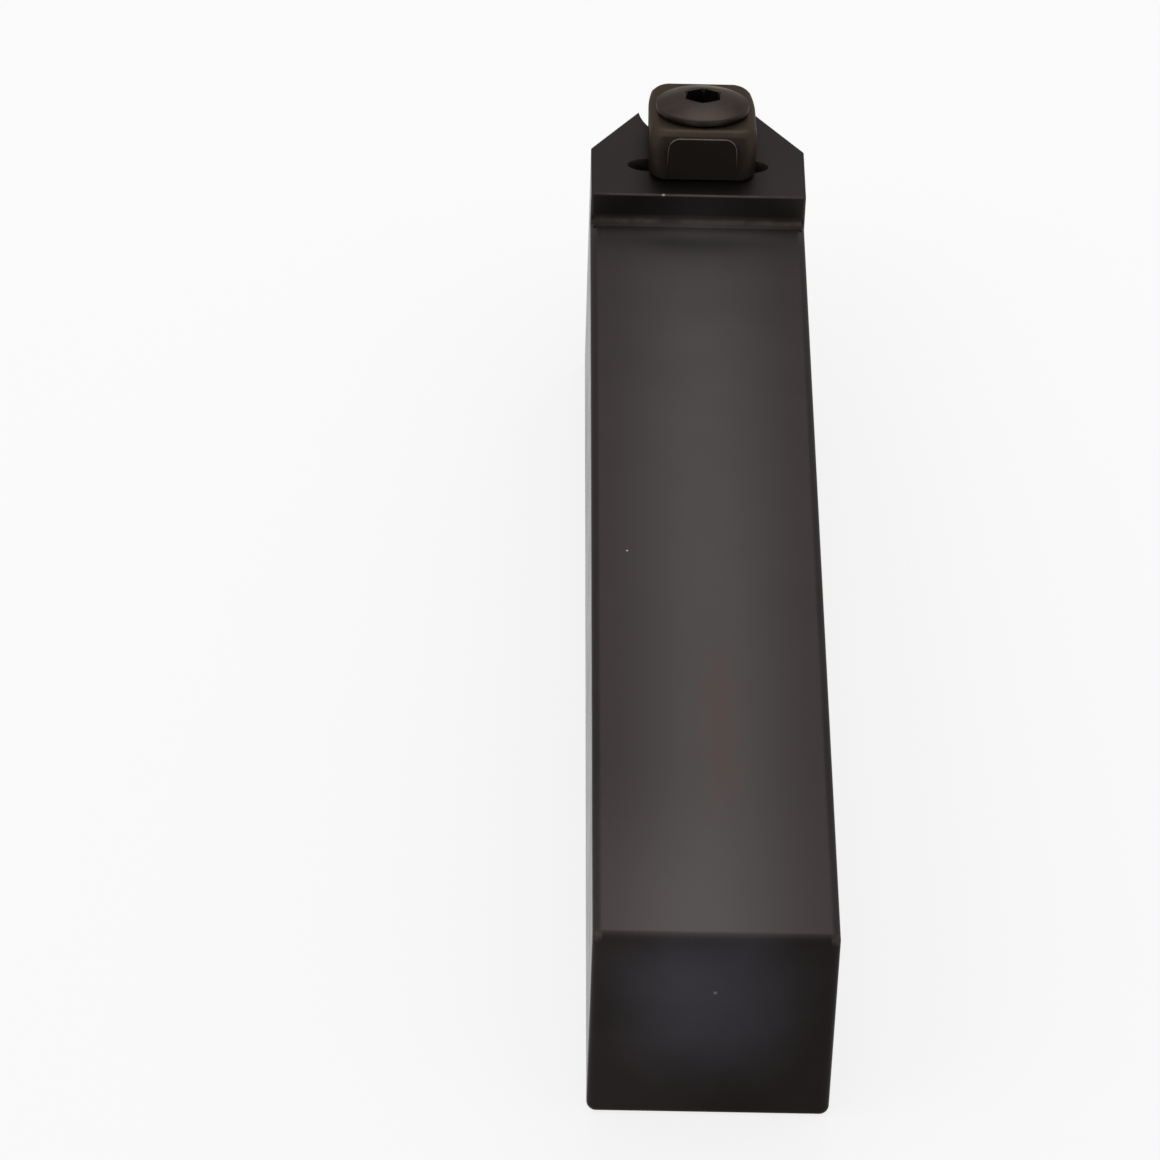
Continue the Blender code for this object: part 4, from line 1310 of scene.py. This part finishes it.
def screw_material():
    """Warm oxide on turned steel, with a golden rub on the far side of the crown."""
    if "screw_oxide" in bpy.data.materials:
        return bpy.data.materials["screw_oxide"]
    tones = sizes().colours
    look = Finish("screw_oxide", 1.0, (0.12 * MM, 3 * MM, 0.6), (0.6, 0.58, 0.56))
    look.colour = solid(tones.screw)
    look.tone(look.by_grain(0.85, 1.15, CLOUD_LIMITS))
    rub_place = 3.9 * MM
    crown = SCREW_FRAME @ Vector((MM, rub_place, crown_height(rub_place)))
    rub = soft_spot(look, look.place, crown, 2.2 * MM, 0.16 * MM, 0.45, (0.62, 1.3, 0.6))
    look.lay(look.times(rub, 0.8), tones.rub)
    look.lay(look.add('ShaderNodeAttribute', attribute_name="worn").outputs["Fac"], tones.soot)
    return look.complete(look.by_grain(0.34, 0.46), 0.12, 0.03 * MM)


def spring_material():
    """Drawn spring wire."""
    look = Finish("spring_steel", 1.0, (0.08 * MM, MM, 0.5))
    look.colour = solid(sizes().colours.spring)
    look.tone(look.by_grain(0.8, 1.15))
    return look.complete(look.by_grain(0.28, 0.42), 0.1, 0.02 * MM)


def carbide_material():
    """Ground grey carbide, lighter at its broken edges."""
    look = Finish("shim_carbide", 0.8, (0.1 * MM, 2 * MM, 0.4))
    look.colour = solid(sizes().colours.carbide)
    look.tone(look.by_grain(0.85, 1.12))
    look.lay(edge_wear(look, look.place, MM, 0.5), (0.5, 0.5, 0.5))
    return look.complete(look.by_grain(0.36, 0.5), 0.15, 0.02 * MM)


# Stage

def seen_directly(nodes):
    """One for camera, glossy and transmission rays."""
    rays = nodes.add('ShaderNodeLightPath').outputs
    either = nodes.maths('MAXIMUM', rays["Is Camera Ray"], rays["Is Glossy Ray"])
    return nodes.maths('MAXIMUM', either, rays["Is Transmission Ray"])


def floor_material():
    """Pale floor that reads white to the camera and keeps a soft shadow."""
    material = bpy.data.materials.new("pale_floor")
    material.use_nodes = True
    nodes = Nodes(material.node_tree)
    shader = material.node_tree.nodes["Principled BSDF"]
    shader.inputs["Base Color"].default_value = solid(sizes().stage.floor)
    shader.inputs["Roughness"].default_value = 0.9
    glow = nodes.add('ShaderNodeEmission', {"Color": (1, 1, 1, 1), "Strength": 1.0})
    blend = nodes.add('ShaderNodeMixShader', {0: nodes.times(seen_directly(nodes), 0.8),
                                              1: shader.outputs[0], 2: glow.outputs[0]})
    nodes.feed(material.node_tree.nodes["Material Output"].inputs["Surface"], blend.outputs[0])
    return material


def add_world():
    """White surroundings for the eye and for reflections, plain soft light for the rest."""
    world = bpy.data.worlds.new("studio")
    world.use_nodes = True
    nodes = Nodes(world.node_tree)
    background = world.node_tree.nodes["Background"]
    background.inputs["Color"].default_value = (1, 1, 1, 1)
    nodes.feed(background.inputs["Strength"],
               nodes.between(seen_directly(nodes), sizes().stage.sky, 1.0))
    bpy.context.scene.world = world


def add_lamp(name, place, target, side, power):
    """Soft square lamp turned towards a point."""
    lamp = bpy.data.lights.new(name, 'AREA')
    lamp.shape = 'SQUARE'
    lamp.size = side
    lamp.energy = power
    thing = linked(name, lamp)
    turned = (target - place).to_track_quat('-Z', 'Y').to_matrix().to_4x4()
    thing.matrix_world = Matrix.Translation(place) @ turned
    thing.visible_camera = False


def add_camera():
    """Camera at the photograph's angle."""
    stage = sizes().stage
    level = math.cos(stage.elevation)
    forward = Vector((math.sin(stage.azimuth) * level, math.cos(stage.azimuth) * level,
                      -math.sin(stage.elevation)))
    right = forward.cross(Vector((0, 0, 1))).normalized()
    up = right.cross(forward)
    rolled_right = math.cos(stage.roll) * right + math.sin(stage.roll) * up
    rolled_up = math.cos(stage.roll) * up - math.sin(stage.roll) * right
    turned = Matrix((rolled_right, rolled_up, -forward)).transposed().to_4x4()
    view = bpy.data.cameras.new("camera")
    view.lens = stage.lens
    view.sensor_width = 36.0
    view.clip_start = 0.01
    view.clip_end = 20.0
    camera = linked("camera", view)
    camera.matrix_world = Matrix.Translation(CAMERA_PLACE) @ turned
    bpy.context.scene.camera = camera


class TOOLHOLDER_OT_stage(bpy.types.Operator):
    """Sets the camera, the soft lamps, the surroundings and the pale floor"""
    bl_idname = "toolholder.stage"
    bl_label = "Stage"

    def execute(self, context):
        bm = bmesh.new()
        bmesh.ops.create_grid(bm, x_segments=2, y_segments=2, size=FLOOR_HALF)
        floor = object_from("floor", bm)
        floor.data.materials.append(floor_material())
        add_world()
        add_camera()
        stage = sizes().stage
        rear = Vector((0, REAR_Y, sizes().holder.shank_height))
        add_lamp("sheen lamp", rear + SHEEN_LAMP, rear, SHEEN_SIDE, stage.sheen_power)
        add_lamp("side lamp", rear + SIDE_LAMP, rear + SIDE_AIM, SIDE_SIDE, stage.side_power)
        context.scene.view_settings.view_transform = 'Standard'
        return {'FINISHED'}


class TOOLHOLDER_PT_panel(bpy.types.Panel):
    """Lists the operators that build the tool holder"""
    bl_idname = "TOOLHOLDER_PT_panel"
    bl_label = "Tool Holder"
    bl_space_type = 'VIEW_3D'
    bl_region_type = 'UI'
    bl_category = "Tool Holder"

    def draw(self, context):
        for step in STEPS:
            self.layout.operator(step.bl_idname)


STEPS = (TOOLHOLDER_OT_body, TOOLHOLDER_OT_shim, TOOLHOLDER_OT_spring, TOOLHOLDER_OT_clamp,
         TOOLHOLDER_OT_clamp_screw, TOOLHOLDER_OT_stage)
GROUPS = (HolderSizes, ClampSizes, ScrewSizes, SpringSizes, ShimSizes, FinishColours,
          StageSettings, ToolHolderProperties)


def register():
    """Registers the properties, the operators and the panel."""
    for kind in (*GROUPS, *STEPS, TOOLHOLDER_PT_panel):
        bpy.utils.register_class(kind)
    bpy.types.Scene.tool_holder = PointerProperty(type=ToolHolderProperties,
                                                  name="Tool holder",
                                                  description="Sizes and finishes")


def unregister():
    """Removes what register added."""
    del bpy.types.Scene.tool_holder
    for kind in (TOOLHOLDER_PT_panel, *reversed(STEPS), *reversed(GROUPS)):
        bpy.utils.unregister_class(kind)


def main():
    """Builds every piece and the stage."""
    register()
    bpy.ops.toolholder.body()
    bpy.ops.toolholder.shim()
    bpy.ops.toolholder.spring()
    bpy.ops.toolholder.clamp()
    bpy.ops.toolholder.clamp_screw()
    bpy.ops.toolholder.stage()


if __name__ == "__main__":
    main()
